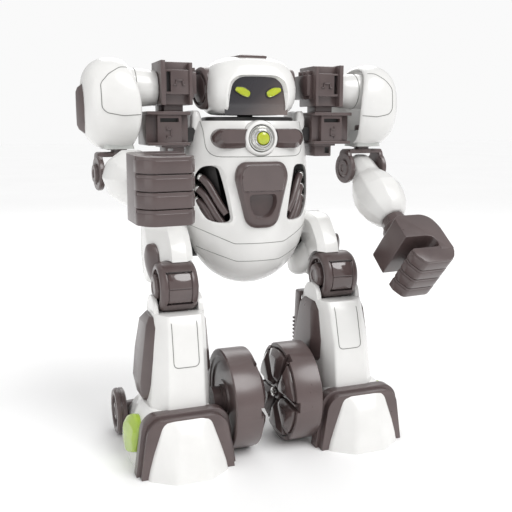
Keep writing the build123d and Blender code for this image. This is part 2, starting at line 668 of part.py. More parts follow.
with BuildPart() as foot_body:
    with BuildSketch(Plane.YZ.offset(40)) as side_view:
        with BuildLine() as edge:
            Polyline((-66, 0), (-66, 38), (-62, 41.5), (-16, 41.5), (0, 32), (8, 18), (8, 0),
                     (-66, 0))
        make_face()
    extrude(amount=58)
    chamfer(foot_body.faces().sort_by(Axis.X)[-1].edges().sort_by(Axis.Z)[-4:], length=5)
    add(slab((90, 110), (-16, 40), (-1, 45)), mode=Mode.SUBTRACT)
    for x_low in (46, 68):
        add(slab((x_low, x_low + 16), (-60, -34), (-1, 30)), mode=Mode.SUBTRACT)
        add(slab((x_low, x_low + 16), (-28, -2), (-1, 26)), mode=Mode.SUBTRACT)
    add(bar_x(9.0, 35.5, 41, WHEEL_AXIS[1], WHEEL_AXIS[2]))
    add(bar_x(5.0, axle_x + 6, 41, WHEEL_AXIS[1], WHEEL_AXIS[2]))
    add(bar_x(7.0, 89, 96.5, hub_y - 4, hub_z))
    add(foot_lamp.part, mode=Mode.SUBTRACT)
    add(bar_x(4.0, 89, SIDE_WHEEL_AXIS[0] + 5, hub_y, hub_z))
    add(bar_x(7.0, 89, SIDE_WHEEL_AXIS[0] - GAP, hub_y, hub_z))

with BuildPart() as wheel_drum:
    wheel_outer = axle_x + WHEEL_WIDTH
    add(disc_x(WHEEL_RADIUS, axle_x, wheel_outer, WHEEL_AXIS[1], WHEEL_AXIS[2], 2.5))
    rim_groove = bar_x(31.0, axle_x + 6, wheel_outer + 1, WHEEL_AXIS[1], WHEEL_AXIS[2])
    hub_core = bar_x(11.0, axle_x + 5, wheel_outer + 2, WHEEL_AXIS[1], WHEEL_AXIS[2])
    add(rim_groove - hub_core, mode=Mode.SUBTRACT)
    for notch in range(6):
        turn = Pos(axle_x, WHEEL_AXIS[1], WHEEL_AXIS[2]) * Rot(60 * notch, 0, 0)
        add(turn * Pos(2, 0, 30) * Box(10, 4, 22, mode=Mode.PRIVATE), mode=Mode.SUBTRACT)
    add(bar_x(5.0 + RUNNING, axle_x + 5.5, 60, WHEEL_AXIS[1], WHEEL_AXIS[2]), mode=Mode.SUBTRACT)

with BuildPart() as wheel_cover:
    add(bar_x(27.0, axle_x - 2.5, axle_x, WHEEL_AXIS[1], WHEEL_AXIS[2]))
    dome = Pos(axle_x - 5, WHEEL_AXIS[1], WHEEL_AXIS[2]) * Rot(0, -90, 0)
    add(dome * Cone(27.0, 22.0, 5.0, mode=Mode.PRIVATE))
    for notch in range(6):
        turn = Pos(axle_x, WHEEL_AXIS[1], WHEEL_AXIS[2]) * Rot(60 * notch, 0, 0)
        add(turn * Pos(-4, 0, 20) * Box(12, 4, 26, mode=Mode.PRIVATE), mode=Mode.SUBTRACT)
    add(bar_x(5.0, axle_x - 10, axle_x - 3, WHEEL_AXIS[1], WHEEL_AXIS[2]), mode=Mode.SUBTRACT)

with BuildPart() as side_wheel:
    add(disc_x(SIDE_WHEEL_RADIUS, SIDE_WHEEL_AXIS[0], SIDE_WHEEL_AXIS[0] + 8, hub_y, hub_z, 1.5))
    ring = bar_x(12.0, SIDE_WHEEL_AXIS[0] + 6, SIDE_WHEEL_AXIS[0] + 9, hub_y, hub_z)
    ring = ring - bar_x(6.0, SIDE_WHEEL_AXIS[0] + 5, SIDE_WHEEL_AXIS[0] + 10, hub_y, hub_z)
    add(ring, mode=Mode.SUBTRACT)
    add(bar_x(4.0 + RUNNING, 90, SIDE_WHEEL_AXIS[0] + 5.5, hub_y, hub_z), mode=Mode.SUBTRACT)

# ---------------------------------------------------------------- both sides, rest pose
swivel_axis = Axis(ELBOW, (0, 0, 1))
elbow_axis = Axis(ELBOW, (1, 0, 0))


def posed(solid, side, moves):
    """Turn a hanging left-arm piece into the rest pose of one side."""
    swivel = LEFT_SWIVEL if side > 0 else RIGHT_SWIVEL
    bend = LEFT_BEND if side > 0 else RIGHT_BEND
    if "elbow" in moves:
        solid = solid.rotate(elbow_axis, -bend)
    if "swivel" in moves:
        solid = solid.rotate(swivel_axis, swivel)
    return solid


arm_pieces = (("shoulder_blocks", shoulder_blocks, ()), ("upper_arm_shell", upper_arm_shell, ()),
              ("upper_arm_cap", upper_arm_cap, ()), ("elbow_joint", elbow_joint, ("swivel",)),
              ("forearm_shell", forearm_shell, ("swivel", "elbow")),
              ("wrist", wrist, ("swivel", "elbow")), ("fist", fist, ("swivel", "elbow")))
leg_pieces = (("thigh_shell", thigh_shell), ("thigh_cap", thigh_cap), ("knee_barrel", knee_barrel),
              ("shin_shell", shin_shell), ("calf_panels", calf_panels), ("foot_body", foot_body),
              ("foot_trim", foot_trim), ("toe_cap", toe_cap), ("foot_lamp", foot_lamp),
              ("wheel_drum", wheel_drum), ("wheel_cover", wheel_cover),
              ("side_wheel", side_wheel))

for side, word in ((1, "left"), (-1, "right")):
    for name, piece, moves in arm_pieces:
        solid = posed(piece.part, side, moves)
        if side < 0:
            solid = mirror(solid, about=Plane.YZ)
        keep(f"{word}_{name}", solid)
    for name, piece in leg_pieces:
        solid = piece.part
        if side < 0:
            solid = mirror(solid, about=Plane.YZ)
        keep(f"{word}_{name}", solid)

# ---------------------------------------------------------------- origin and export
boxes = [solid.bounding_box() for solid in nodes.values()]
low = Vector(*(min(getattr(box.min, axis) for box in boxes) for axis in "XYZ"))
high = Vector(*(max(getattr(box.max, axis) for box in boxes) for axis in "XYZ"))
SHIFT = Vector(-(low.X + high.X) / 2, -(low.Y + high.Y) / 2, -low.Z)

os.makedirs("parts", exist_ok=True)
for name, solid in nodes.items():
    placed = solid.moved(Location(SHIFT))
    placed.label = name
    export_step(placed, f"parts/{name}.step")

print("nodes", len(nodes))
print("size", high - low)
print("shift", SHIFT)
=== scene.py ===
"""Walking humanoid toy robot: the visible pieces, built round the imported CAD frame.

Shapes are drawn in millimetres in the robot's own frame: +X is its left, -Y its front, +Z up.
Each limb is drawn once, on the left side with the arm hanging, then turned and mirrored.
place() moves a finished piece into the row frame, in metres.
"""
import json
from math import acos, atan2, cos, pi, radians, sin, sqrt

import bmesh
import bpy
from mathutils import Matrix, Vector


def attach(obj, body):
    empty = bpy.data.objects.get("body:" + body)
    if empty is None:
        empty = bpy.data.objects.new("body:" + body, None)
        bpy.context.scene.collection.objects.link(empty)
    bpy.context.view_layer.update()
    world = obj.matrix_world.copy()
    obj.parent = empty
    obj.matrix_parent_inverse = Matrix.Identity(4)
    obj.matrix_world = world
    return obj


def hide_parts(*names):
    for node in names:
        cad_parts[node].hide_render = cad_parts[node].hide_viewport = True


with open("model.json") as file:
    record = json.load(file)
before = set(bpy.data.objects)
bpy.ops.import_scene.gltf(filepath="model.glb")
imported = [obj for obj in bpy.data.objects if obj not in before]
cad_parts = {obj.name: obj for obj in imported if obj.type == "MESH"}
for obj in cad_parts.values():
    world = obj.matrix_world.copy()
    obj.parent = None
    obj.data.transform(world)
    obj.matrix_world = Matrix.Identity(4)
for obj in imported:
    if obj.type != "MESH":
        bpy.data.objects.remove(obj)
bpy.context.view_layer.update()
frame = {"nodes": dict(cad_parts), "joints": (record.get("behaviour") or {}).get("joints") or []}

# ---------------------------------------------------------------- places taken from the frame
JOINTS = {joint["name"]: joint for joint in frame["joints"]}
NECK = Vector((0, -4, 246.5))           # where the head turns, in the robot's own frame
SHIFT = Vector(JOINTS["head_turn"]["pos_m"]) * 1000 - NECK
ROW = Matrix.Scale(0.001, 4) @ Matrix.Translation(SHIFT)
MIRROR = Matrix.Scale(-1, 4, (1, 0, 0))
ELBOW = Vector((98, -10, 206))
KNEE = Vector((62.5, -31, 124))
WHEEL = Vector((12.5, -45, 37.8))
SIDE_WHEEL = Vector((98, 6, 18.3))
WORDS = {1: "left", -1: "right"}
SEAM_STEP, SEAM_DEPTH = 1.6, 0.08       # how far apart a seam's points are, and how deep it lies


def forearm_angles(side):
    """Bend and swivel of a forearm at rest, from its elbow and wrist joints."""
    word = WORDS[side]
    wrist = Vector(JOINTS[f"{word}_wrist_turn"]["pos_m"])
    elbow = Vector(JOINTS[f"{word}_elbow_bend"]["pos_m"])
    along = (wrist - elbow).normalized()
    return acos(-along.z), atan2(side * along.x, -along.y)


def arm_turn(side, bends=True):
    """Matrix that turns a hanging piece below the elbow into the rest pose."""
    bend, swivel = forearm_angles(side)
    turn = Matrix.Rotation(swivel, 4, "Z")
    if bends:
        turn = turn @ Matrix.Rotation(-bend, 4, "X")
    return Matrix.Translation(ELBOW) @ turn @ Matrix.Translation(-ELBOW)


# ---------------------------------------------------------------- outlines
def oval(half_a, half_b, power=2.0, count=48, centre=(0, 0)):
    """Superellipse: power 2 is an ellipse, higher powers are boxier."""
    points = []
    for step in range(count):
        angle = 2 * pi * step / count
        c, s = cos(angle), sin(angle)
        a = half_a * abs(c) ** (2 / power) * (1 if c >= 0 else -1)
        b = half_b * abs(s) ** (2 / power) * (1 if s >= 0 else -1)
        points.append((centre[0] + a, centre[1] + b))
    return points


def polygon(radius, sides, centre=(0, 0), turn=0.0):
    """Regular polygon with one flat side facing up when turn is 0."""
    half = pi / sides
    return [(centre[0] + radius * sin(2 * pi * i / sides + half + turn),
             centre[1] + radius * cos(2 * pi * i / sides + half + turn)) for i in range(sides)]


def corner_curve(before, corner, after, reach, steps):
    """Points of the curve that replaces a corner, starting and ending at the reach from it."""
    here = Vector(corner)
    start = here + (Vector(before) - here).normalized() * reach
    end = here + (Vector(after) - here).normalized() * reach
    points = []
    for step in range(steps + 1):
        t = step / steps
        spot = start * (1 - t) ** 2 + here * 2 * t * (1 - t) + end * t ** 2
        points.append((spot.x, spot.y))
    return points


def rounded(points, radius, steps=5):
    """Polygon with each corner rounded; radius is one number or one per corner."""
    radii = radius if isinstance(radius, (list, tuple)) else [radius] * len(points)
    result = []
    for index, corner in enumerate(points):
        before, after = points[index - 1], points[(index + 1) % len(points)]
        sides = [(Vector(end) - Vector(corner)).length for end in (before, after)]
        reach = min(radii[index], *(length * 0.48 for length in sides))
        result += corner_curve(before, corner, after, reach, steps)
    return result


def rounded_path(points, radius, steps=6):
    """Open path with its inner corners rounded."""
    result = [points[0]]
    for before, corner, after in zip(points, points[1:], points[2:]):
        result += corner_curve(before, corner, after, radius, steps)
    return result + [points[-1]]


def short_steps(route):
    """Route through 2-D points, with more points added so that none is far from the next."""
    spots = []
    for (a0, b0), (a1, b1) in zip(route, route[1:]):
        count = max(1, int(sqrt((a1 - a0) ** 2 + (b1 - b0) ** 2) / SEAM_STEP))
        spots += [(a0 + (a1 - a0) * i / count, b0 + (b1 - b0) * i / count) for i in range(count)]
    return spots + [route[-1]]


def mirrored(half):
    """Whole outline from the points of its right half, listed top to bottom."""
    return half + [(-x, z) for x, z in reversed(half)]


def capsule(width, height, centre=(0, 0), steps=10):
    """Stadium outline, standing or lying."""
    radius = min(width, height) / 2
    corners = [(-width / 2, -height / 2), (width / 2, -height / 2), (width / 2, height / 2),
               (-width / 2, height / 2)]
    spots = []
    for (x, y), first in zip(corners, (180, 270, 0, 90)):
        mid_x = x - radius * (1 if x > 0 else -1)
        mid_y = y - radius * (1 if y > 0 else -1)
        for step in range(steps + 1):
            angle = radians(first + 90 * step / steps)
            spots.append((centre[0] + mid_x + radius * cos(angle),
                          centre[1] + mid_y + radius * sin(angle)))
    return [spot for i, spot in enumerate(spots)
            if (Vector(spot) - Vector(spots[i - 1])).length > 1e-4]


def grown(points, scale, centre=None):
    """Outline scaled about its middle."""
    if centre is None:
        centre = (sum(p[0] for p in points) / len(points), sum(p[1] for p in points) / len(points))
    if not isinstance(scale, tuple):
        scale = (scale, scale)
    return [(centre[0] + (a - centre[0]) * scale[0], centre[1] + (b - centre[1]) * scale[1])
            for a, b in points]


def raise_to(points, plane, level):
    """2-D outline to 3-D points: plane XY, XZ or YZ, at a level on the third axis."""
    if plane == "XY":
        return [(a, b, level) for a, b in points]
    if plane == "XZ":
        return [(a, level, b) for a, b in points]
    return [(level, a, b) for a, b in points]


# ---------------------------------------------------------------- meshes
def new_object(name, data):
    """Object in the scene that holds a mesh, curve, light or camera."""
    obj = bpy.data.objects.new(name, data)
    bpy.context.scene.collection.objects.link(obj)
    return obj


def discard(obj):
    """Remove a mesh object that is used up."""
    mesh = obj.data
    bpy.data.objects.remove(obj)
    bpy.data.meshes.remove(mesh)


def from_bmesh(name, bm, recalculate=True):
    """Finished object from a bmesh, with its normals facing out."""
    if recalculate:
        bmesh.ops.recalc_face_normals(bm, faces=bm.faces)
    mesh = bpy.data.meshes.new(name)
    bm.to_mesh(mesh)
    bm.free()
    return new_object(name, mesh)


def evaluated_mesh(obj):
    """Copy of an object's mesh with its modifiers or curve settings applied."""
    bpy.context.view_layer.update()
    graph = bpy.context.evaluated_depsgraph_get()
    return bpy.data.meshes.new_from_object(obj.evaluated_get(graph))


def loft(name, rings):
    """Closed skin through rings that have the same number of points."""
    bm = bmesh.new()
    loops = [[bm.verts.new(point) for point in ring] for ring in rings]
    for low, high in zip(loops, loops[1:]):
        for i in range(len(low)):
            j = (i + 1) % len(low)
            bm.faces.new((low[i], low[j], high[j], high[i]))
    bm.faces.new(loops[0][::-1])
    bm.faces.new(loops[-1])
    return from_bmesh(name, bm)


def modify(obj, kind, **settings):
    """Add one modifier, apply it, and give the object back."""
    modifier = obj.modifiers.new(kind.title(), kind)
    for key, value in settings.items():
        setattr(modifier, key, value)
    old = obj.data
    obj.data = evaluated_mesh(obj)
    obj.modifiers.clear()
    bpy.data.meshes.remove(old)
    return obj


def bevel(obj, width, segments=2, angle=28):
    """Rounded edges wherever faces meet at more than the angle."""
    return modify(obj, "BEVEL", width=width, segments=segments, limit_method="ANGLE",
                  angle_limit=radians(angle), use_clamp_overlap=True, harden_normals=False)


def plate(name, outline, plane, low, high, edge=0.6, segments=2, angle=28):
    """Outline given a thickness, with bevelled rims."""
    obj = loft(name, [raise_to(outline, plane, low), raise_to(outline, plane, high)])
    return bevel(obj, edge, segments, angle) if edge else obj


def stack(name, plane, stations, edge=0.0):
    """Skin through (level, outline) stations along the third axis."""
    obj = loft(name, [raise_to(outline, plane, level) for level, outline in stations])
    return bevel(obj, edge) if edge else obj


def block(name, low, high, edge=0.8):
    """Box between two corners with rounded edges."""
    corners = [(low[0], low[1]), (high[0], low[1]), (high[0], high[1]), (low[0], high[1])]
    return plate(name, corners, "XY", low[2], high[2], edge)


def lathe(name, profile, centre, axis="Y", count=56):
    """Turned piece: profile is (along, radius) pairs, measured from the centre along the axis."""
    plane = {"X": "YZ", "Y": "XZ", "Z": "XY"}[axis]
    index = "XYZ".index(axis)
    rest = [centre[i] for i in range(3) if i != index]
    rings = []
    for along, radius in profile:
        ring = oval(max(radius, 0.02), max(radius, 0.02), 2, count, rest)
        rings.append(raise_to(ring, plane, centre[index] + along))
    return loft(name, rings)


def tube(name, points, radius, closed=False, smooth=True, resolution=3):
    """Round bar or thin line along points."""
    curve = bpy.data.curves.new(name, "CURVE")
    curve.dimensions = "3D"
    curve.bevel_depth = radius
    curve.bevel_resolution = resolution
    curve.use_fill_caps = not closed
    spline = curve.splines.new("POLY" if not smooth else "NURBS")
    spline.points.add(len(points) - 1)
    for spot, point in zip(spline.points, points):
        spot.co = (*point, 1)
    spline.use_cyclic_u = closed
    if smooth:
        spline.order_u = 3
        spline.use_endpoint_u = True
        spline.resolution_u = 6
    holder = new_object(name + "_curve", curve)
    mesh = evaluated_mesh(holder)
    bpy.data.objects.remove(holder)
    bpy.data.curves.remove(curve)
    bm = bmesh.new()
    bm.from_mesh(mesh)
    bpy.data.meshes.remove(mesh)
    bmesh.ops.remove_doubles(bm, verts=bm.verts, dist=1e-4)
    return from_bmesh(name, bm)


def join(name, pieces):
    """One object from several."""
    bm = bmesh.new()
    for piece in pieces:
        bm.from_mesh(piece.data)
        discard(piece)
    return from_bmesh(name, bm, recalculate=False)


def combine(obj, other, operation="DIFFERENCE"):
    """Boolean with another object, which is used up."""
    modify(obj, "BOOLEAN", object=other, operation=operation, solver="EXACT")
    discard(other)
    return obj


def cut(obj, *cutters):
    """Take cutters out of a piece, one after the other."""
    for cutter in cutters:
        combine(obj, cutter)
    return obj


def copy_of(obj, name):
    """Independent copy of an unplaced piece."""
    return new_object(name, obj.data.copy())


def place(obj, body, nodes, finish, side=1, turn=None, angle=32):
    """Move a finished piece into the row frame, shade it and hang it on its body."""
    mesh = obj.data
    matrix = turn or Matrix.Identity(4)
    if side < 0:
        matrix = MIRROR @ matrix
    mesh.transform(ROW @ matrix)
    if side < 0:
        mesh.flip_normals()
    for face in mesh.polygons:
        face.use_smooth = True
    mesh.set_sharp_from_angle(angle=radians(angle))
    mesh.materials.clear()
    mesh.materials.append(MATERIALS[finish])
    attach(obj, body)
    if nodes:
        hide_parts(*nodes)
    return obj


def leaned(obj, spot, spin, lean=0.0, roll=0.0):
    """Piece built at the origin, facing +X, turned to face another way and moved to its spot."""
    turn = (Matrix.Rotation(radians(spin), 4, "Z") @ Matrix.Rotation(radians(lean), 4, "Y")
            @ Matrix.Rotation(radians(roll), 4, "X"))
    obj.data.transform(Matrix.Translation(Vector(spot)) @ turn)
    return obj


# ---------------------------------------------------------------- materials
def add_node(tree, kind, **settings):
    """New shader node with its settings and unlinked inputs filled in."""
    node = tree.nodes.new(kind)
    for key, value in settings.items():
        if key in node.inputs:
            node.inputs[key].default_value = value
        else:
            setattr(node, key, value)
    return node


def noise_field(tree, scale, detail):
    """Noise over the piece's own coordinates, in metres."""
    spots = add_node(tree, "ShaderNodeTexCoord")
    field = add_node(tree, "ShaderNodeTexNoise", Scale=scale, Detail=detail)
    tree.links.new(spots.outputs["Object"], field.inputs["Vector"])
    return field.outputs["Fac"]


def ramp(tree, value, stops):
    """Colour ramp over a value."""
    node = add_node(tree, "ShaderNodeValToRGB")
    edges = node.color_ramp.elements
    while len(edges) < len(stops):
        edges.new(0.5)
    for edge, (position, colour) in zip(edges, stops):
        edge.position = position
        edge.color = (*colour, 1)
    tree.links.new(value, node.inputs["Fac"])
    return node.outputs["Color"]


def spread(tree, value, low, high):
    """Value from 0..1 stretched to low..high."""
    node = add_node(tree, "ShaderNodeMapRange", **{"To Min": low, "To Max": high})
    tree.links.new(value, node.inputs["Value"])
    return node.outputs["Result"]


def moulded(name, dark, light, rough, grain=(2600.0, 0.05), mottle=55.0, **constants):
    """Moulded plastic or metal: mottled colour, uneven gloss and a fine surface grain."""
    material = bpy.data.materials.new(name)
    material.use_nodes = True
    tree = material.node_tree
    shader = tree.nodes["Principled BSDF"]
    for key, value in constants.items():
        shader.inputs[key.replace("_", " ")].default_value = value
    tint = ramp(tree, noise_field(tree, mottle, 6.0), [(0.3, dark), (0.7, light)])
    edge = add_node(tree, "ShaderNodeNewGeometry")
    # Colour lightened along sharp convex edges, from the mesh's pointiness.
    edge_lightening = ramp(tree, edge.outputs["Pointiness"], [(0.5, (0, 0, 0)), (0.62, (0.35, 0.35, 0.35))])
    mix = add_node(tree, "ShaderNodeMix", data_type="RGBA")
    mix.inputs[7].default_value = (*[min(1, 1.25 * c + 0.02) for c in light], 1)
    tree.links.new(edge_lightening, mix.inputs[0])
    tree.links.new(tint, mix.inputs[6])
    tree.links.new(mix.outputs[2], shader.inputs["Base Color"])
    gloss = spread(tree, noise_field(tree, mottle * 4, 5.0), *rough)
    tree.links.new(gloss, shader.inputs["Roughness"])
    scale, strength = grain
    bump = add_node(tree, "ShaderNodeBump", Strength=strength, Distance=0.0004)
    tree.links.new(noise_field(tree, scale, 3.0), bump.inputs["Height"])
    tree.links.new(bump.outputs["Normal"], shader.inputs["Normal"])
    return material


def object_axes(tree):
    """Outputs X, Y and Z of the piece's own coordinates, in metres."""
    spots = add_node(tree, "ShaderNodeTexCoord")
    apart = add_node(tree, "ShaderNodeSeparateXYZ")
    tree.links.new(spots.outputs["Object"], apart.inputs["Vector"])
    return apart.outputs


def shaded_along(tree, value, low, high, stops):
    """Base colour from a ramp over a value between low and high."""
    along = add_node(tree, "ShaderNodeMapRange", **{"From Min": low, "From Max": high})
    tree.links.new(value, along.inputs["Value"])
    shade = ramp(tree, along.outputs["Result"], stops)
    tree.links.new(shade, tree.nodes["Principled BSDF"].inputs["Base Color"])


def visor_painted_reflection():
    """Glossy visor, blue-black at the upper inner side, with a painted reflection turning it
    brown-grey towards the lower side.
    """
    material = moulded("visor_gloss", (0.02, 0.02, 0.03), (0.04, 0.035, 0.04), (0.05, 0.12),
                       (900.0, 0.01), Coat_Weight=0.6)
    tree = material.node_tree
    axes = object_axes(tree)
    # Painted reflection: the base colour grades from blue-black to brown-grey along X minus Z.
    slope = add_node(tree, "ShaderNodeMath", operation="SUBTRACT")
    tree.links.new(axes["X"], slope.inputs[0])
    tree.links.new(axes["Z"], slope.inputs[1])
    shaded_along(tree, slope.outputs["Value"], -0.292, -0.226,
                 [(0.0, (0.010, 0.011, 0.017)), (0.45, (0.030, 0.026, 0.030)),
                  (1.0, (0.150, 0.115, 0.105))])
    return material


def wrapped_cells():
    """Battery jackets: coloured sleeve over steel ends."""
    material = moulded("cell_steel", (0.08, 0.08, 0.09), (0.13, 0.13, 0.14), (0.25, 0.4),
                       Metallic=0.5)
    tree = material.node_tree
    shaded_along(tree, object_axes(tree)["Z"], 0.155, 0.200,
                 [(0.0, (0.45, 0.45, 0.45)), (0.06, (0.02, 0.05, 0.16)),
                  (0.7, (0.02, 0.05, 0.16)), (0.74, (0.5, 0.35, 0.06))])
    return material


WHITE = (0.755, 0.75, 0.735)
TAUPE = (0.090, 0.063, 0.061)
MATERIALS = {
    "white": moulded("white_shell", (0.71, 0.705, 0.69), WHITE, (0.20, 0.30), (1800.0, 0.03),
                     Coat_Weight=0.35, Coat_Roughness=0.12),
    # Darker copy of the white plastic: painted shade for white parts set in shadow.
    "grey": moulded("white_shell_painted_shade", (0.42, 0.43, 0.415), (0.50, 0.51, 0.49), (0.26, 0.36),
                    (1800.0, 0.03), Coat_Weight=0.2),
    "dark": moulded("dark_plastic", (0.072, 0.050, 0.049), TAUPE, (0.24, 0.36), (2400.0, 0.06),
                    Coat_Weight=0.3, Coat_Roughness=0.2),
    "gloss": moulded("dark_plastic_gloss", (0.068, 0.047, 0.046), TAUPE, (0.10, 0.16),
                     (900.0, 0.01), Coat_Weight=0.7),
    "lens": moulded("green_lens", (0.40, 0.44, 0.012), (0.50, 0.53, 0.02), (0.08, 0.16),
                    (700.0, 0.02), Coat_Weight=0.8, Subsurface_Weight=0.15),
    "lamp": moulded("foot_lamp", (0.25, 0.38, 0.035), (0.36, 0.50, 0.055), (0.10, 0.18),
                    (700.0, 0.02), Coat_Weight=0.8),
    "chrome": moulded("chrome_ring", (0.62, 0.62, 0.60), (0.80, 0.80, 0.78), (0.10, 0.20),
                      (3200.0, 0.03), Metallic=1.0),
    "visor": visor_painted_reflection(),
    "black": moulded("black_plastic", (0.010, 0.009, 0.009), (0.020, 0.018, 0.018), (0.35, 0.5),
                     (2400.0, 0.08)),
    "board": moulded("board_green", (0.005, 0.07, 0.03), (0.01, 0.12, 0.05), (0.3, 0.5),
                     (500.0, 0.2), mottle=260.0),
    "cells": wrapped_cells(),
    "steel": moulded("screw_steel", (0.36, 0.35, 0.33), (0.52, 0.51, 0.49), (0.22, 0.36),
                     (3200.0, 0.06), Metallic=1.0),
    "seam": moulded("seam_shadow", (0.13, 0.135, 0.125), (0.19, 0.195, 0.18), (0.5, 0.7),
                    (2400.0, 0.05)),
}


# ---------------------------------------------------------------- head
HEAD_Y = -8.0
VISOR_Y = -34.2            # face of the tinted window
EYE = [(16.9, 266.7), (11.4, 266.8), (5.8, 263.4), (7.6, 259.3), (13.2, 261.2), (17.9, 264.4)]


def helmet():
    """Rounded box with a wide opening for the visor that runs out through the chin."""
    stations = ((246.8, 24.5, 20.5, 3.4), (248.5, 28.5, 24.5, 3.6), (253, 32.4, 27.4, 3.8),
                (260, 34.6, 28.8, 3.8), (268, 35.0, 29.0, 3.6), (275, 33.8, 28.0, 3.3),
                (281, 31.0, 25.6, 3.1), (285.5, 26.8, 22.0, 3.0), (288.3, 20.5, 17.0, 2.8),
                (289.6, 12.0, 10.0, 2.6))
    rings = [raise_to(oval(a, b, power, 64, (0, HEAD_Y)), "XY", z)
             for z, a, b, power in stations]
    shell = modify(loft("head_helmet", rings), "SUBSURF", levels=1, render_levels=1)
    outer = rounded(mirrored([(15.5, 276.6), (22.6, 272.6), (25.4, 262), (27.6, 249),
                              (28.6, 238)]), [6, 5, 9, 4, 0.5, 0.5, 4, 9, 5, 6])
    inner = rounded(mirrored([(13.6, 273.6), (18.9, 270.0), (21.2, 261), (22.6, 249),
                              (23.2, 238)]), [6, 5, 9, 4, 0.5, 0.5, 4, 9, 5, 6])
    front = [(-41.0, grown(outer, 1.06, (0, 262))), (-37.0, outer), (-32.6, inner),
             (-26.5, inner)]
    shell = cut(shell, stack("opening", "XZ", front))
    for side in (-1, 1):
        seat = stack("seat", "YZ", [(side * 33.6, oval(11.6, 13.6, 2, 48, (-2, 266))),
                                    (side * 40, oval(11.6, 13.6, 2, 48, (-2, 266)))])
        shell = cut(shell, seat)
    shell = cut(shell, lathe("neck_socket", [(-2, 7.2), (9, 7.2)], NECK, "Z", 32))
    return bevel(shell, 0.35, 2, 40)


def visor_window():
    """Tinted window, bowed gently, with a fine step across its lower part."""
    columns, rows = 40, 30
    bm = bmesh.new()
    grid = []
    for row in range(rows + 1):
        z = 247.2 + (275.2 - 247.2) * row / rows
        line = []
        for column in range(columns + 1):
            x = -24.5 + 49.0 * column / columns
            bow = 0.0052 * x * x + 0.0022 * (z - 262) ** 2
            step = 0.35 if z < 253.2 else 0.0
            line.append(bm.verts.new((x, VISOR_Y + bow + step, z)))
        grid.append(line)
    for low, high in zip(grid, grid[1:]):
        for i in range(columns):
            bm.faces.new((low[i], low[i + 1], high[i + 1], high[i]))
    return modify(from_bmesh("head_visor", bm), "SOLIDIFY", thickness=2.0, offset=-1.0)


def eye(side):
    """Lozenge lamp with a raised inner face, slanting down to the nose."""
    outline = rounded([(side * x, z) for x, z in EYE], 2.4)
    levels = ((1.2, 1), (-0.55, 1), (-0.95, 0.93), (-0.8, 0.80), (-1.15, 0.74))
    return stack(f"head_eye_{WORDS[side]}", "XZ",
                 [(VISOR_Y + level, grown(outline, scale)) for level, scale in levels])


def eye_rim(side):
    """Thin dark frame round an eye."""
    outline = grown(rounded([(side * x, z) for x, z in EYE], 2.4), 1.09)
    points = raise_to(outline, "XZ", VISOR_Y - 0.05)
    return tube(f"head_eye_rim_{WORDS[side]}", points, 0.42, closed=True, smooth=False)


def ear(side):
    """Dark oval disc, turned a little to the front, with a thick rim and a faceted middle."""
    levels = ((-5.0, 1.0), (1.0, 1.0), (2.6, 0.93), (3.1, 0.86), (3.0, 0.80), (1.6, 0.765),
              (1.5, 0.74))
    disc = stack("disc", "YZ", [(level, oval(12.8 * scale, 15.4 * scale, 2.1, 48))
                                for level, scale in levels])
    face = grown(polygon(9.0, 8, (0, 0)), (0.98, 1.22))
    cap = stack("cap", "YZ", [(0.5, face), (2.4, face), (3.4, grown(face, 0.96))], edge=0.3)
    return leaned(join(f"head_ear_{WORDS[side]}", [disc, cap]), (34.6, -8.0, 266.6), -15, 3)


def crown_strip():
    """Dark strip let into the top of the helmet."""
    outline = rounded([(-11, -24), (11, -24), (12.5, 4), (9, 8), (-9, 8), (-12.5, 4)], 3)
    low = stack("low", "XY", [(286.5, outline), (289.9, outline), (290.5, grown(outline, 0.93))])
    ribs = [block("rib", (-7, y - 0.9, 290.2), (7, y + 0.9, 290.95), 0.3) for y in (-16, -11, -6)]
    return join("head_crown_strip", [low] + ribs)


def build_head():
    """Helmet, window, eyes, ears and crown on the turning head."""
    place(helmet(), "head", ["head_shell"], "white", angle=38)
    place(visor_window(), "head", ["visor"], "visor")
    for side in (-1, 1):
        place(eye(side), "head", ["eye_lenses"], "lens")
        place(eye_rim(side), "head", [], "black")
        place(ear(side), "head", ["head_trim"], "dark", side)
    place(crown_strip(), "head", ["head_trim"], "dark")


build_head()


# ---------------------------------------------------------------- torso
TORSO_Y = -4.5
TORSO_BASE, TORSO_WIDEST, TORSO_TOP = 118.2, 190.0, 243.0
EGG_RINGS = 34
SPLIT_GAP = 0.14           # half of the joint line between the front and back shells
LAMP = Vector((0, -38.0, 230.5))
VENT = [(31.5, 210.8), (25.2, 169.8), (37.5, 169.6), (45.6, 185), (45.0, 204), (40.5, 210.8)]


def egg_section(z):
    """Half width and half depth of the torso at a height."""
    if z < TORSO_WIDEST:
        drop = min(1.0, (TORSO_WIDEST - z) / (TORSO_WIDEST - 117.5))
        return 49.5 * sqrt(1 - drop ** 2.6), 38.0 * sqrt(1 - drop ** 3.4)
    rise = (z - TORSO_WIDEST) / 90.0
    return 49.5 * sqrt(1 - rise ** 2.8), 38.0 * sqrt(1 - rise ** 2)


def egg_wall(x, z, out=0.0, front=True):
    """Y of the torso's surface at x and z, standing out by a little."""
    half_width, half_depth = egg_section(min(z, TORSO_TOP))
    reach = (half_depth + out) * sqrt(max(0.0, 1 - (x / (half_width + out)) ** 2))
    return TORSO_Y - reach if front else TORSO_Y + reach


def egg(name, inset, top=TORSO_TOP):
    """Closed egg, drawn in from the surface by the inset."""
    base = TORSO_BASE + inset
    stations = []
    for step in range(EGG_RINGS + 1):
        z = base + (top - base) * (step / EGG_RINGS) ** 1.5
        half_width, half_depth = egg_section(max(z, TORSO_BASE + 0.01))
        ring = oval(max(half_width - inset, 2), max(half_depth - inset, 2), 2, 112, (0, TORSO_Y))
        stations.append((z, ring))
    return stack(name, "XY", stations)


def hollow_egg(name, outside, inside, top=TORSO_TOP, roof=4.0):
    """Egg-shaped wall between two insets, closed at the top by a roof."""
    skin = egg(name, outside, top=top)
    return combine(skin, egg("core", inside, top=top - roof))


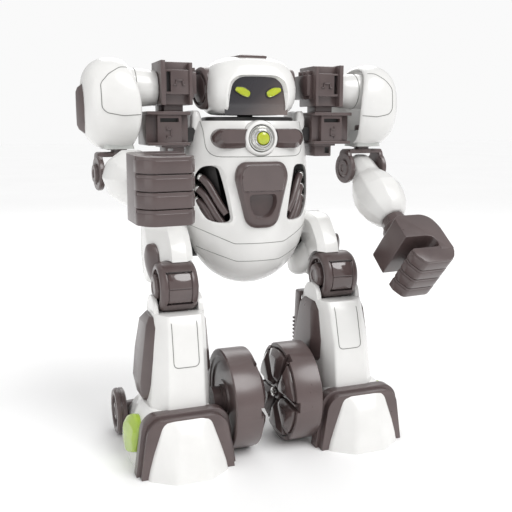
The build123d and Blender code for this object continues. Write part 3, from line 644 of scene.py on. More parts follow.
def horn(side):
    """Raised shoulder of the torso beside the neck, blended down into the wall."""
    stations = []
    for z, x_low, x_high, y_low, y_high in ((212, 34, 47.0, -8, 1), (224, 35, 46.2, -12, 6),
                                            (236, 36, 45.3, -16, 11), (244, 37.4, 45.0, -17, 13),
                                            (249, 38.6, 44.6, -16, 12),
                                            (250.5, 39.8, 43.4, -14.5, 10.5)):
        corners = [(side * x_low, y_low), (side * x_high, y_low), (side * x_high, y_high),
                   (side * x_low, y_high)]
        stations.append((z, rounded(corners, 2.8, 4)))
    return stack("horn", "XY", stations)


def vent_cutter(side, deep):
    """Slanting rounded opening; its wall flares towards the middle of the chest."""
    outline = rounded([(side * x, z) for x, z in VENT], [8, 5, 6.5, 9, 7, 4.5])
    flare = [(x - side * 3.6, z + 0.6) for x, z in grown(outline, (1.08, 1.06))]
    return stack("vent", "XZ", [(-60, grown(flare, 1.3)), (-37.5, flare), (-28.5, outline),
                                (deep, outline)])


def door_outline(grow=0.0):
    """Rounded rectangle of the battery door."""
    half_width, half_height = 26 + grow, 25 + grow
    return rounded([(-half_width, 174 - half_height), (half_width, 174 - half_height),
                    (half_width, 174 + half_height), (-half_width, 174 + half_height)], 7)


SHIELD_MIDDLE = (0, 191)


def shield_outline():
    """Rounded trapezoid, wide at the top."""
    return rounded([(16.8, 213.8), (20.9, 204), (11.6, 165.2), (-11.6, 165.2),
                    (-20.9, 204), (-16.8, 213.8)], [6.5, 7, 8.5, 8.5, 7, 6.5])


def torso_shells():
    """White front and back shells with every opening cut through."""
    wall = hollow_egg("torso_wall", 0.0, 2.5)
    for side in (-1, 1):
        wall = combine(wall, horn(side), "UNION")
    for side in (-1, 1):
        wall = cut(wall, vent_cutter(side, -9))
    well = rounded([(-35.8, -16), (-30, -25), (-18, -30.5), (18, -30.5), (30, -25), (35.8, -16),
                    (30, 17), (-30, 17)], [4, 6, 8, 8, 6, 4, 4, 4])
    wall = cut(wall, plate("well", well, "XY", 236, 260, 0),
               lathe("lamp_hole", [(-20, 13.2), (6, 13.2)], LAMP, "Y"),
               plate("door", door_outline(0.35), "XZ", 5, 60, 0),
               plate("shield_seat", grown(shield_outline(), 0.965, SHIELD_MIDDLE), "XZ", -60,
                     -26, 0),
               block("switch_window", (-8, 28, 207.5), (8, 60, 216.5), 0))
    for x, z in SCREWS:
        wall = cut(wall, lathe("screw_well", [(-1.6, 3.4), (8, 3.4)],
                               (x, egg_wall(x, z, front=False), z), "Y", 28))
    back = copy_of(wall, "torso_back")
    wall.name = "torso_front"
    front = combine(wall, block("front_half", (-90, -90, 90), (90, TORSO_Y - SPLIT_GAP, 280), 0),
                    "INTERSECT")
    back = combine(back, block("back_half", (-90, TORSO_Y + SPLIT_GAP, 90), (90, 90, 280), 0),
                   "INTERSECT")
    return bevel(front, 0.3, 2, 50), bevel(back, 0.3, 2, 50)


def surface_line(name, corners, radius=0.27):
    """Thin seam lying on the front of the torso through (x, z) corners."""
    points = [(x, egg_wall(x, z, -SEAM_DEPTH), z) for x, z in short_steps(corners)]
    return tube(name, points, radius, smooth=False, resolution=2)


def bib_seam():
    """Seam of the chest panel: down from both horns and across under the lamp bar."""
    corners = [(-39.4, 242.6), (-38.4, 236), (-37.6, 217.3), (37.6, 217.3), (38.4, 236),
               (39.4, 242.6)]
    path = [corners[0]] + rounded_path(corners[1:-1], 9.5) + [corners[-1]]
    return surface_line("torso_bib_seam", path)


def belly_seam(name, z_mid, half_flat, z_end, half_end):
    """Flat in the middle, rising to both sides."""
    ends = [(-half_end, z_end), (-half_flat, z_mid), (half_flat, z_mid), (half_end, z_end)]
    return surface_line(name, rounded_path(ends, 1.5, 3))


def side_seam(side):
    """Vertical joint line of the two shells, sunk in the wall."""
    points = []
    low, high, steps = TORSO_BASE + 3, TORSO_TOP - 1, 29
    for step in range(steps + 1):
        z = low + (high - low) * step / steps
        half_width = egg_section(z)[0]
        points.append((side * (half_width - 0.5), TORSO_Y, z))
    return tube(f"torso_side_seam_{WORDS[side]}", points, 0.45, resolution=2)


def vent_insert(side):
    """Dark backing plate and four thick pipes with pale capped ends."""
    word = WORDS[side]
    backing = hollow_egg("backing", 9.5, 11.5, top=235, roof=0.5)
    frame_cut = grown(rounded([(side * x, z) for x, z in VENT], 5), 1.18)
    backing = combine(backing, plate("window", frame_cut, "XZ", -60, -8, 0), "INTERSECT")
    backing.name = f"torso_vent_back_{word}"
    pipes, caps = [], []
    for start_x, start_z in ((39.6, 202.0), (41.2, 193.0), (41.6, 184.6), (40.6, 178.4)):
        route = [(0, 0), (-2.6, -2.6), (-5.6, -8.0), (-8.6, -14.5), (-11.6, -20.5),
                 (-15.5, -26.5)]
        points = [(side * (start_x + x), egg_wall(start_x + x, start_z + z, -5.2), start_z + z)
                  for x, z in route]
        pipes.append(tube("pipe", points, 2.9, resolution=6))
        start, ahead = Vector(points[0]), Vector(points[1])
        way = (start - ahead).normalized()
        collar_points = [tuple(start - way * 1.0), tuple(start + way * 1.5)]
        caps.append(tube("cap", collar_points, 3.2, smooth=False, resolution=6))
    pipes = join(f"torso_vent_pipes_{word}", pipes)
    caps = join(f"torso_vent_caps_{word}", caps)
    return backing, pipes, bevel(caps, 0.6, 2, 40)


def chest_lamp():
    """White collar, stepped chrome ring and the green lens that is pressed."""
    collar = lathe("torso_lamp_collar", [(10, 12.6), (3, 13.0), (-2.0, 12.9), (-3.4, 12.2),
                                         (-4.0, 11.2), (-3.9, 10.2), (-2.0, 9.7), (0.5, 9.6),
                                         (0.6, 4.0), (10, 4.0)], LAMP, "Y", 72)
    ring = lathe("torso_lamp_ring", [(0.9, 9.4), (-2.6, 9.4), (-3.2, 9.1), (-3.3, 8.6),
                                     (-3.0, 8.3), (-4.9, 8.0), (-5.6, 7.5), (-5.6, 7.0),
                                     (-5.1, 6.7), (-5.3, 6.3), (-6.3, 6.1), (-6.9, 5.6),
                                     (-6.9, 5.2), (-6.2, 5.0), (0.9, 5.0)], LAMP, "Y", 72)
    lens = lathe("torso_lamp_lens", [(4, 2.9), (-3.3, 2.9), (-3.4, 4.6), (-7.0, 4.6),
                                     (-8.0, 4.25), (-8.6, 3.4), (-8.9, 2.2), (-9.0, 1.0),
                                     (-9.0, 0.1)], LAMP, "Y", 56)
    return collar, ring, lens


def chest_bar():
    """Dark stadium bar whose face is set high, so the lower bevel is the wide one."""
    whole = capsule(69, 14.4, (0, 230.4), 12)
    face = capsule(61.5, 9.6, (0, 232.0), 12)
    lip = capsule(62.3, 10.3, (0, 231.9), 12)
    bar = stack("torso_chest_bar", "XZ",
                [(-26, whole), (-37.0, whole), (-37.9, grown(whole, 0.985)), (-41.2, lip),
                 (-41.7, face)])
    return cut(bar, lathe("collar_hole", [(-20, 12.9), (20, 12.9)], LAMP, "Y"))


def chest_shield():
    """Rounded trapezoid with a bevelled rim, a raised upper face and a deep D-shaped recess."""
    outline = shield_outline()
    middle = SHIELD_MIDDLE
    body = stack("torso_shield", "XZ",
                 [(-34, grown(outline, 0.98, middle)), (-42.4, outline),
                  (-43.6, grown(outline, 0.975, middle)), (-45.2, grown(outline, 0.885, middle)),
                  (-45.45, grown(outline, 0.865, middle))])
    recess = rounded([(10.2, 190.0), (10.4, 182), (5.4, 173.2), (-5.4, 173.2), (-10.4, 182),
                      (-10.2, 190.0)], [3, 4, 5, 5, 4, 3])
    hole = stack("recess", "XZ", [(-50, grown(recess, 1.16)), (-45.5, grown(recess, 1.04)),
                                  (-44.9, recess), (-39.5, grown(recess, 0.93))])
    body = cut(body, hole)
    upper = rounded([(13.4, 211.3), (16.9, 204), (15.2, 192.6), (-15.2, 192.6), (-16.9, 204),
                     (-13.4, 211.3)], [4.5, 5, 1.4, 1.4, 5, 4.5])
    face = stack("face", "XZ", [(-44.8, upper), (-45.8, upper), (-46.35, grown(upper, 0.965))])
    return bevel(body, 0.3, 2, 35), face


def neck_tray():
    """Black tray under the head, its front bowed like the chest, with a collar for the neck."""
    outline = rounded([(-35.2, -16), (-29.6, -24.6), (-18, -30), (18, -30), (29.6, -24.6),
                       (35.2, -16), (29.4, 16.4), (-29.4, 16.4)], [4, 6, 8, 8, 6, 4, 4, 4])
    tray = stack("tray", "XY", [(237, outline), (244.6, outline), (245.6, grown(outline, 0.985)),
                                (245.9, grown(outline, 0.95)), (243.8, grown(outline, 0.90))])
    collar = lathe("collar", [(-3, 11), (-0.9, 11), (-0.3, 10.4), (-0.3, 7.6)], NECK, "Z", 48)
    return join("torso_neck_tray", [tray, collar])


SCREWS = [(x, z) for x in (-36, 36) for z in (172, 222)] + [(0, 129)]


def cross_screw(name, x, z):
    """Pan-head screw with a cross recess, sunk in the back."""
    y = egg_wall(x, z, front=False)
    head = lathe(name, [(-14, 1.5), (-3.2, 1.5), (-3.2, 3.1), (-1.7, 3.1), (-1.0, 2.6),
                        (-0.7, 1.6), (-0.65, 0.4)], (x, y, z), "Y", 28)
    for width, height in ((3.4, 0.8), (0.8, 3.4)):
        head = cut(head, block("slot", (x - width / 2, y - 1.9, z - height / 2),
                               (x + width / 2, y + 1, z + height / 2), 0))
    return head


def battery_door():
    """Curved door in the back with a finger latch and five grip ribs."""
    door = hollow_egg("torso_battery_door", 0.1, 2.4)
    door = combine(door, plate("prism", door_outline(), "XZ", 8, 60, 0), "INTERSECT")
    latch = rounded([(-9, 194), (9, 194), (7, 201), (-7, 201)], 1.5)
    door = cut(door, plate("latch", latch, "XZ", 32.6, 60, 0))
    door = bevel(door, 0.3, 2, 45)
    ribs = []
    for row in range(5):
        z = 182 - 3.4 * row
        points = [(x, egg_wall(x, z, 0.1, front=False), z) for x in range(-14, 15, 4)]
        ribs.append(tube("rib", points, 0.75))
    return join("torso_battery_door", [door] + ribs)


def power_switch():
    """Sliding knob with three grip ridges on a thin shoe."""
    shoe = block("shoe", (-7, 26.6, 208.2), (7, 28.4, 215.8), 0.3)
    stem = block("stem", (-2, 25, 210.2), (2, 32, 213.8), 0.2)
    knob = block("knob", (-3.5, 31, 208.6), (3.5, 35.2, 215.4), 0.7)
    ridges = [block("ridge", (x - 0.45, 34.8, 209.0), (x + 0.45, 35.75, 215.0), 0.25)
              for x in (-2, 0, 2)]
    return join("power_switch_knob", [shoe, stem, knob] + ridges)


def build_torso():
    """Shells, seams, vents, lamp, shield and back fittings."""
    front, back = torso_shells()
    place(front, "torso", ["torso_front_shell"], "white", angle=40)
    place(back, "torso", ["torso_back_shell"], "white", angle=40)
    place(bib_seam(), "torso", [], "seam")
    place(belly_seam("torso_belly_seam_high", 153.6, 19.5, 166, 47.0), "torso", [], "seam")
    place(belly_seam("torso_belly_seam_low", 139.6, 17.0, 149.5, 42.5), "torso", [], "seam")
    for side in (-1, 1):
        place(side_seam(side), "torso", [], "seam")
        backing, pipes, caps = vent_insert(side)
        place(backing, "torso", ["vent_pipes"], "black")
        place(pipes, "torso", ["vent_pipes"], "dark")
        place(caps, "torso", ["vent_pipes"], "chrome")
    collar, ring, lens = chest_lamp()
    place(collar, "torso", ["lamp_collar"], "white")
    place(ring, "torso", ["lamp_ring"], "chrome", angle=50)
    place(lens, "button", ["chest_button"], "lens")
    place(chest_bar(), "torso", ["chest_bar"], "gloss")
    body, face = chest_shield()
    place(body, "torso", ["chest_shield"], "dark")
    place(face, "torso", [], "gloss")
    place(neck_tray(), "torso", ["neck_well"], "black")
    place(battery_door(), "torso", ["battery_door"], "white")
    for number, (x, z) in enumerate(SCREWS):
        place(cross_screw(f"torso_screw_{number}", x, z), "torso", ["body_screws"], "steel")
    place(power_switch(), "switch", ["power_switch"], "dark")


build_torso()


# ---------------------------------------------------------------- draped lines
def draped(name, body, route, radius=0.27, away=-400.0):
    """Thin line lying on a piece: an (x, z) route dropped on it from far in front or behind."""
    bpy.context.view_layer.update()
    way = Vector((0, -1.0 if away > 0 else 1.0, 0))
    points = []
    for x, z in short_steps(route):
        hit, landed, _, _ = body.ray_cast(Vector((x, away, z)), way)
        if hit:
            points.append(landed - way * SEAM_DEPTH)
    return tube(name, points, radius, smooth=False, resolution=2)


# ---------------------------------------------------------------- shoulder blocks
def hinge_housing(low, high, slot_at, upright):
    """Housing with two flanges and a slotted panel, and a black sheet at the back of its slot as
    painted shade.
    """
    x0, y0, z0 = low
    x1, y1, z1 = high
    core = block("core", (x0 + 0.2, y0 + 6.0, z0 + 0.2), (x1 - 0.2, y1, z1 - 0.2), 0.5)
    if upright:
        flanges = [block("flange", (x0, y0, z0), (x0 + 2.3, y1 - 1, z1 - 0.8), 0.4),
                   block("flange", (x1 - 3.2, y0 - 0.4, z0 - 0.2), (x1, y1 - 1, z1 + 0.4), 0.4)]
        panel = block("panel", (x0 + 1.5, y0 + 1.0, z0 + 7.2), (x1 - 2, y0 + 8, z1 - 5.8), 0.45)
        slot_low, slot_high = (slot_at - 1.5, z0 + 9.0), (slot_at + 1.5, z1 - 7.2)
    else:
        flanges = [block("flange", (x0, y0, z0), (x1 - 0.6, y1 - 1, z0 + 2.2), 0.4),
                   block("flange", (x0 - 0.3, y0 - 0.4, z1 - 2.4), (x1, y1 - 1, z1), 0.4)]
        panel = block("panel", (x0 + 6.0, y0 + 1.0, z0 + 1.5), (x1 - 7.6, y0 + 8, z1 - 1.5), 0.45)
        slot_low, slot_high = (x0 + 8.2, slot_at - 1.4), (x1 - 9.6, slot_at + 1.4)
    (left, bottom), (right, top) = slot_low, slot_high
    panel = cut(panel, block("slot", (left, y0 - 5, bottom), (right, y0 + 5.4, top), 0.2))
    # Black sheet at the back of the slot: painted shade in the slot's depth.
    slot_shade_sheet = block("slot_shade_sheet", (left - 0.3, y0 + 5.0, bottom - 0.3), (right + 0.3, y0 + 5.8, top + 0.3), 0)
    return join("housing", flanges + [panel, core]), slot_shade_sheet


def stepped_clip(x, y, z, turned):
    """Small raised spring clip: a bridge with two feet."""
    strokes = [((-4.0, -1.2), (-2.4, -1.2)), ((-2.4, -1.2), (-2.4, 2.0)), ((-2.4, 2.0), (2.4, 2.0)),
               ((2.4, 2.0), (2.4, -1.2)), ((2.4, -1.2), (4.0, -1.2))]
    bars = []
    for (a0, b0), (a1, b1) in strokes:
        lows = (min(a0, a1) - 0.42, min(b0, b1) - 0.42)
        highs = (max(a0, a1) + 0.42, max(b0, b1) + 0.42)
        if turned:
            lows, highs = (-highs[1], lows[0]), (-lows[1], highs[0])
        bars.append(block("clip", (x + lows[0], y - 0.75, z + lows[1]),
                          (x + highs[0], y + 0.8, z + highs[1]), 0.2))
    return join("clip", bars)


def shoulder_blocks(side):
    """Two hinge housings above each other, a motor with fins, and the bracket below."""
    word = WORDS[side]
    upper, upper_slot_shade = hinge_housing((47.8, -30, 254), (70.4, 2, 284), 64.8, True)
    lower, lower_slot_shade = hinge_housing((49, -26, 225.5), (80.2, 10, 249.5), 243.4, False)
    clips = [stepped_clip(57.2, -29.3, 268.8, False), stepped_clip(64.8, -25.3, 234.4, True)]
    neck = [block("neck", (52.5, -20, 248.5), (66, -3, 256), 0.6),
            block("gusset", (66, -14, 249), (69, -2, 255), 0.5)]
    bracket = block("bracket", (52, -20, 216), (66, 0, 226), 0.7)
    bracket = cut(bracket, block("hole", (60.4, -30, 218.3), (64.4, 10, 223.2), 0.2))
    shelf = block("shelf", (51, -21, 224), (69, 1, 226.4), 0.4)
    housings = join(f"{word}_shoulder_housings",
                    [upper, lower, bracket, shelf] + clips + neck)
    motor = block("motor", (43.2, -24, 259.3), (48.6, 1.4, 277.4), 0.9)
    motor = cut(motor, block("step", (40, -30, 256), (45.0, -17, 262), 0))
    fins = [block("fin", (43.6, y - 1.1, 276), (50, y + 1.1, 280.4), 0.4)
            for y in (-20.5, -13.5, -6.5)]
    motors = join(f"{word}_shoulder_motor", [motor] + fins)
    slot_shades = join(f"{word}_shoulder_slot_shades", [upper_slot_shade, lower_slot_shade])
    nodes = [f"{word}_shoulder_blocks"]
    place(housings, "torso", nodes, "dark", side)
    place(motors, "torso", nodes, "dark", side)
    # Black sheets in the housing slots: painted shade.
    place(slot_shades, "torso", nodes, "black", side)
    pin = lathe(f"{word}_shoulder_pin", [(-4, 5), (21, 5), (22, 4.2)], (70, -12, 266), "X", 32)
    place(pin, "torso", nodes, "dark", side)


# ---------------------------------------------------------------- upper arm
ARM_CENTRE = (-5.5, 254.2)


def arm_oval(scale):
    """Egg-like side outline of the upper arm, fuller at the front and top."""
    points = []
    for a, b in oval(30.4 * scale, 32.6 * scale, 2.35, 72):
        narrow = 1 - 0.10 * max(0.0, -b / 33)
        points.append((ARM_CENTRE[0] + a * narrow, ARM_CENTRE[1] + b))
    return points


def arm_rings(stations, rim_bow):
    """Side outlines along X; the inner rim bows away from the body at top and bottom."""
    first, last = stations[0][0], stations[-1][0]
    rings = []
    for x, scale in stations:
        fade = (last - x) / (last - first)
        ring = []
        for y, z in arm_oval(scale):
            lift = ((z - 249) / 35.0) ** 2
            ring.append((x + rim_bow * lift * fade, y, z))
        rings.append(ring)
    return rings


def upper_arm(side):
    """Deep white dish, open to the body, on a drum; with a seam and a dark faceted cap."""
    word = WORDS[side]
    body_name = f"{word}_upper_arm"
    skin = loft(f"{word}_upper_arm_shell", arm_rings(
        [(83.6, 0.925), (85.5, 0.955), (90, 0.99), (96, 1.0), (103, 0.985), (109.5, 0.94),
         (114.8, 0.865), (118.6, 0.76), (121.2, 0.63), (122.2, 0.50)], 9.0))
    skin = modify(skin, "SUBSURF", levels=1, render_levels=1)
    hollow = loft("hollow", arm_rings(
        [(78.0, 0.875), (83.6, 0.875), (92, 0.90), (97.5, 0.86), (99.0, 0.80)], 9.0))
    skin = cut(skin, hollow)
    chin = block("chin", (60, -70, 200), (140, 60, 222.2), 0)
    skin = cut(skin, chin, lathe("socket", [(-2, 8.8), (17, 8.8)], ELBOW, "Z", 32))
    skin = bevel(skin, 0.7, 3, 50)
    seam_route = [(84.0, 279.2), (98.5, 279.0), (106.5, 274.2), (112.2, 267.8), (112.0, 251.5),
                  (108.8, 248.2), (98.0, 246.2), (84.0, 247.2)]
    seam_route = rounded_path(seam_route, 1.8, 3)
    seam = draped(f"{word}_upper_arm_seam", skin, seam_route)
    back_seam = draped(f"{word}_upper_arm_seam_back", skin, seam_route, away=400.0)
    drum = lathe(f"{word}_upper_arm_drum",
                 [(0.8, 11.0), (0.9, 11.7), (1.6, 12.2), (9, 12.9), (14, 13.4), (29.5, 13.8)],
                 (70, -12, 266), "X", 64)
    ring = [(86.5, -12 + 13.55 * cos(t * pi / 24), 266 + 13.55 * sin(t * pi / 24))
            for t in range(48)]
    drum_seam = tube(f"{word}_upper_arm_drum_seam", ring, 0.25, closed=True, smooth=False)
    brace = stack(f"{word}_upper_arm_brace", "XY",
                  [(223.2, rounded([(88, -21), (110, -21), (110, 3), (88, 3)], 4)),
                   (236, rounded([(92, -20), (108, -20), (108, 2), (92, 2)], 4))])
    brace = cut(brace, lathe("socket", [(-2, 6.2), (40, 6.2)], ELBOW, "Z", 32),
                lathe("socket_low", [(-2, 8.8), (16, 8.8)], ELBOW, "Z", 32))
    outline = grown(polygon(15.0, 10, (-5.5, 251.5)), (0.86, 1.22))
    cap = stack(f"{word}_upper_arm_cap", "YZ",
                [(115.0, outline), (121.4, outline), (122.4, grown(outline, 0.94)),
                 (124.8, grown(outline, (0.55, 0.84))), (126.2, grown(outline, (0.16, 0.66)))])
    cap = bevel(cap, 0.45, 2, 12)
    place(skin, body_name, [f"{word}_upper_arm_shell"], "white", side, angle=45)
    place(seam, body_name, [], "seam", side)
    place(back_seam, body_name, [], "seam", side)
    place(drum, body_name, [], "white", side, angle=40)
    place(drum_seam, body_name, [], "seam", side)
    # The brace inside the dish takes the grey copy of the white plastic, as painted shade.
    place(brace, body_name, [], "grey", side)
    place(cap, body_name, [f"{word}_upper_arm_cap"], "dark", side, angle=25)


# ---------------------------------------------------------------- elbow and forearm
def elbow(side):
    """Two bossed discs joined by a strap over the top, and the swivel post."""
    word = WORDS[side]
    parts = []
    for end in (-1, 1):
        boss = 19.0 if end > 0 else 17.4
        profile = [(13.2, 11.2), (13.2, 11.9), (14, 12.3), (16.2, 12.3), (17, 11.6), (17, 8.2),
                   (16.4, 7.7), (16.6, 6.9), (boss - 0.5, 6.6), (boss, 5.9), (boss, 3.4),
                   (boss - 0.6, 2.8)]
        profile = [(end * along, radius) for along, radius in profile]
        parts.append(lathe("disc", profile, ELBOW, "X"))
        arm = rounded([(-20.6, 205), (-15.5, 220.4), (-4.5, 220.4), (0.6, 205)], [1, 3, 3, 1])
        near, far = sorted((ELBOW.x + end * 13.3, ELBOW.x + end * 16.6))
        parts.append(plate("arm", arm, "YZ", near, far, 0.6))
    parts.append(block("strap", (83.0, -16.4, 217.6), (113.8, -3.6, 221.0), 0.9))
    parts.append(lathe("post", [(12, 8.0), (15, 8.0), (15.2, 5.9), (33, 5.9), (34, 5.2)],
                       ELBOW, "Z", 40))
    parts.append(lathe("pin", [(-14, 4.0), (14, 4.0)], ELBOW, "X", 28))
    joint = join(f"{word}_elbow_yoke", parts)
    place(joint, f"{word}_elbow", [f"{word}_elbow_joint"], "dark", side, arm_turn(side, False))


def facet_ring(half_x, half_y, sides=10):
    """Ten-sided section round the forearm's axis."""
    return [(ELBOW.x + half_x * sin(2 * pi * i / sides + pi / sides),
             ELBOW.y + half_y * cos(2 * pi * i / sides + pi / sides)) for i in range(sides)]


def forearm(side):
    """White egg with long soft facets; its upper end turns between the elbow discs."""
    word = WORDS[side]
    sizes = ((216.4, 4.5, 3.4), (215.2, 8.6, 6.4), (211.5, 11.6, 9.4), (205, 12.6, 10.3),
             (197, 12.9, 11.2), (193.2, 13.2, 12.0), (190, 15.6, 13.6), (183, 18.4, 17.0),
             (175, 19.8, 19.4), (167, 19.4, 19.0), (158, 17.2, 17.0), (151.5, 13.4, 13.4),
             (148.4, 10.3, 10.3))
    egg_shape = stack(f"{word}_forearm_shell", "XY",
                      [(z, facet_ring(half_x, half_y)) for z, half_x, half_y in sizes])
    egg_shape = bevel(egg_shape, 1.1, 3, 20)
    seam = draped(f"{word}_forearm_seam", egg_shape,
                  [(98, 202), (98, 150)], 0.22, away=400.0)
    turn = arm_turn(side)
    place(egg_shape, f"{word}_forearm", [f"{word}_forearm_shell"], "white", side, turn, 16)
    place(seam, f"{word}_forearm", [], "seam", side, turn)


def wrist(side):
    """Two stepped ten-sided cuffs."""
    levels = ((148.2, 8.8), (147.2, 9.0), (146.6, 9.7), (141.4, 10.1), (140.8, 11.3),
              (139.8, 12.2), (134.6, 12.6), (133.0, 12.2))
    cuffs = stack(f"{WORDS[side]}_wrist_cuffs", "XY",
                  [(z, facet_ring(radius, radius)) for z, radius in levels])
    cuffs = bevel(cuffs, 0.35, 2, 20)
    place(cuffs, f"{WORDS[side]}_hand", [f"{WORDS[side]}_wrist"], "dark", side, arm_turn(side),
          20)


def fist(side):
    """Palm with a grip slot that opens to the inner side, and four bevelled fingers with creases."""
    word = WORDS[side]
    palm_points = [(80.6, 131.2), (84.0, 133.4), (106, 133.4), (112.5, 129.5), (115.6, 121),
            (116.0, 99.0), (104.5, 99.0), (104.5, 102.8), (105.5, 106.2), (103.4, 111.6),
            (98.5, 112.6), (80.2, 112.6)]
    profile = rounded(palm_points, [1.5, 1.5, 4, 4, 4, 0.5, 0.5, 2.5, 3, 3, 1, 1.0], 4)
    palm = plate("palm", profile, "XZ", -30.3, 10.3, 1.0, 3, 40)
    fingers = []
    for number in range(4):
        y = -30.4 + 10.25 * number
        bar = rounded([(80.0, 102.2), (80.2, 96.5), (84.6, 89.6), (87.0, 88.5), (107.5, 88.5),
                       (112.0, 91.2), (116.0, 97.6), (116.0, 103.6), (104.5, 103.6),
                       (103.5, 102.2)], [1, 1.5, 1.5, 1, 2, 2, 2, 1, 1, 1], 3)
        fingers.append(plate("finger", bar, "XZ", y + 2.3, y + 9.9, 1.2, 3, 40))
        fingers.append(plate("crease", grown(bar, 0.975), "XZ", y + 0.3, y + 2.9, 0.7, 2, 40))
    web = plate("web", rounded([(82.4, 101.6), (82.6, 97), (86.6, 91.2), (107, 91.0),
                                (110.5, 93), (114.0, 98.4), (114.0, 102.6)], 1.0), "XZ", -29.2,
                9.2, 0.3)
    hand = join(f"{word}_fist_fingers", [palm, web] + fingers)
    place(hand, f"{word}_hand", [f"{word}_fist"], "dark", side, arm_turn(side), 35)


def build_arms():
    """Both arms, from the shoulder blocks to the fists."""
    for side in (1, -1):
        shoulder_blocks(side)
        upper_arm(side)
        elbow(side)
        forearm(side)
        wrist(side)
        fist(side)


build_arms()


# ---------------------------------------------------------------- leg, left side
BARREL = Vector((64.0, KNEE.y, KNEE.z))
STUDS = 12                 # small studs round each knee hub
PETALS = 6                 # on a big wheel's cover, with as many notches in its rim
RIBS = 12                  # on a side wheel
THIGH = [(-37, 139), (-33, 152), (-19, 167.5), (6, 171.6), (23.5, 160.5), (26.5, 140),
         (12, 123), (-12, 117.4), (-31, 118.6)]


def thigh(side):
    """White faceted hood with two crests, an inner lobe and a dark cap on its slanting side."""
    word = WORDS[side]
    outline = rounded(THIGH, [5, 4, 7, 7, 7, 7, 6, 4, 4], 3)
    hip_pin = lathe("pin", [(-6, 5.1), (16, 5.1)], (45, 4, 146), "X", 32)
    hood = stack(f"{word}_thigh_hood", "YZ",
                 [(50.2, grown(outline, 0.86, (-8, 143))), (55.6, outline), (66.5, outline),
                  (78.2, grown(outline, (0.42, 0.84), (20, 142)))])
    hood = bevel(hood, 1.0, 3, 20)
    hood = cut(hood, lathe("seat", [(-20, 18.9), (20, 18.9)], KNEE, "X", 64),
               copy_of(hip_pin, "pin"))
    lobe = stack("lobe", "YZ", [(x, oval(a, b, 2.1, 48, (2, z))) for x, a, b, z in (
        (42.0, 7.5, 6.5, 127.5), (42.8, 9.5, 8.0, 128), (45.5, 13, 11.0, 129.5),
        (49, 15.5, 13.6, 132), (52, 16.5, 15, 134))])
    lobe = cut(lobe, hip_pin)
    outline = rounded([(-5.0, 15.8), (4.2, 16.2), (9.4, 8.0), (9.8, -3.0), (5.6, -13.0),
                       (-0.5, -16.4), (-6.0, -12.0), (-9.8, -1.0), (-9.2, 8.5)],
                      [4, 4, 5, 5, 5, 4, 5, 5, 5], 3)
    cap = stack(f"{word}_thigh_cap", "YZ",
                [(-7.0, outline), (0.8, outline), (1.7, grown(outline, 0.93)),
                 (3.0, grown(outline, (0.46, 0.74))), (3.4, grown(outline, (0.16, 0.60)))])
    cap = leaned(bevel(cap, 0.4, 2, 14), (75.2, -11.5, 137.0), -24, 4, -8)
    body = f"{word}_thigh"
    place(hood, body, [f"{word}_thigh_shell"], "white", side, angle=26)
    lobe.name = f"{word}_thigh_lobe"
    place(lobe, body, [], "white", side, angle=50)
    place(cap, body, [f"{word}_thigh_cap"], "dark", side, angle=25)


def arc_plate(name, inner, outer, x_range, first, last, edge=0.4):
    """Part of a tube round the knee axis, between two angles measured from the front."""
    steps = 14
    points = []
    for radius, order in ((outer, range(steps + 1)), (inner, range(steps, -1, -1))):
        for step in order:
            angle = radians(first + (last - first) * step / steps)
            points.append((KNEE.y - radius * cos(angle), KNEE.z + radius * sin(angle)))
    return plate(name, points, "YZ", x_range[0], x_range[1], edge, 2, 35)


def knee(side):
    """Dark barrel with rounded rims, ringed recesses, eight-sided hubs and a glossy panel."""
    word = WORDS[side]
    half = [(0, 18.5), (9.6, 18.5), (11.6, 18.1), (13.2, 17.0), (14.0, 15.4), (14.1, 13.6),
            (13.5, 12.9), (10.6, 12.5), (10.6, 1.0)]
    profile = [(-along, radius) for along, radius in reversed(half[1:])] + half[1:]
    barrel = lathe("barrel", profile, BARREL, "X", 72)
    window = arc_plate("window", 17.7, 25, (BARREL.x - 8.8, BARREL.x + 8.8), -34, 44, 0)
    barrel = cut(barrel, window)
    barrel = bevel(barrel, 0.4, 2, 42)
    hubs = []
    for end in (-1, 1):
        ring = polygon(9.8, 8, (BARREL.y, BARREL.z), pi / 8)
        levels = [(BARREL.x + end * 9.8, ring), (BARREL.x + end * 14.8, ring),
                  (BARREL.x + end * 16.2, grown(ring, 0.86)),
                  (BARREL.x + end * 16.4, grown(ring, 0.5)),
                  (BARREL.x + end * 15.8, grown(ring, 0.44))]
        hubs.append(bevel(stack("hub", "YZ", levels), 0.35, 2, 25))
        for number in range(STUDS):
            angle = 2 * pi * number / STUDS
            spot = (BARREL.y + 11.2 * cos(angle), BARREL.z + 11.2 * sin(angle))
            near, far = sorted((BARREL.x + end * 10.4, BARREL.x + end * 12.4))
            hubs.append(plate("stud", polygon(0.9, 6, spot), "YZ", near, far, 0))
    barrel = join(f"{word}_knee_barrel", [barrel] + hubs)
    panel = join(f"{word}_knee_panel",
                 [arc_plate("low", 17.2, 18.25, (BARREL.x - 8.1, BARREL.x + 8.1), -31, 3, 0.35),
                  arc_plate("high", 17.2, 18.4, (BARREL.x - 8.1, BARREL.x + 8.1), 4.2, 41, 0.35)])
    body = f"{word}_thigh"
    place(barrel, body, [f"{word}_knee_barrel"], "dark", side, angle=35)
    place(panel, body, [], "gloss", side, angle=35)


def shin_section(inner, outer, front, back, facet):
    """Eight-sided section: a flat front between two slanting facets."""
    return rounded([(inner, front + facet * 1.15), (inner + facet * 0.62, front),
                    (outer - facet, front), (outer, front + facet * 1.25),
                    (outer, back - 7), (outer - 7, back), (inner + 7, back), (inner, back - 7)],
                   [2.2, 1.6, 1.6, 2.2, 3, 3, 3, 3], 3)


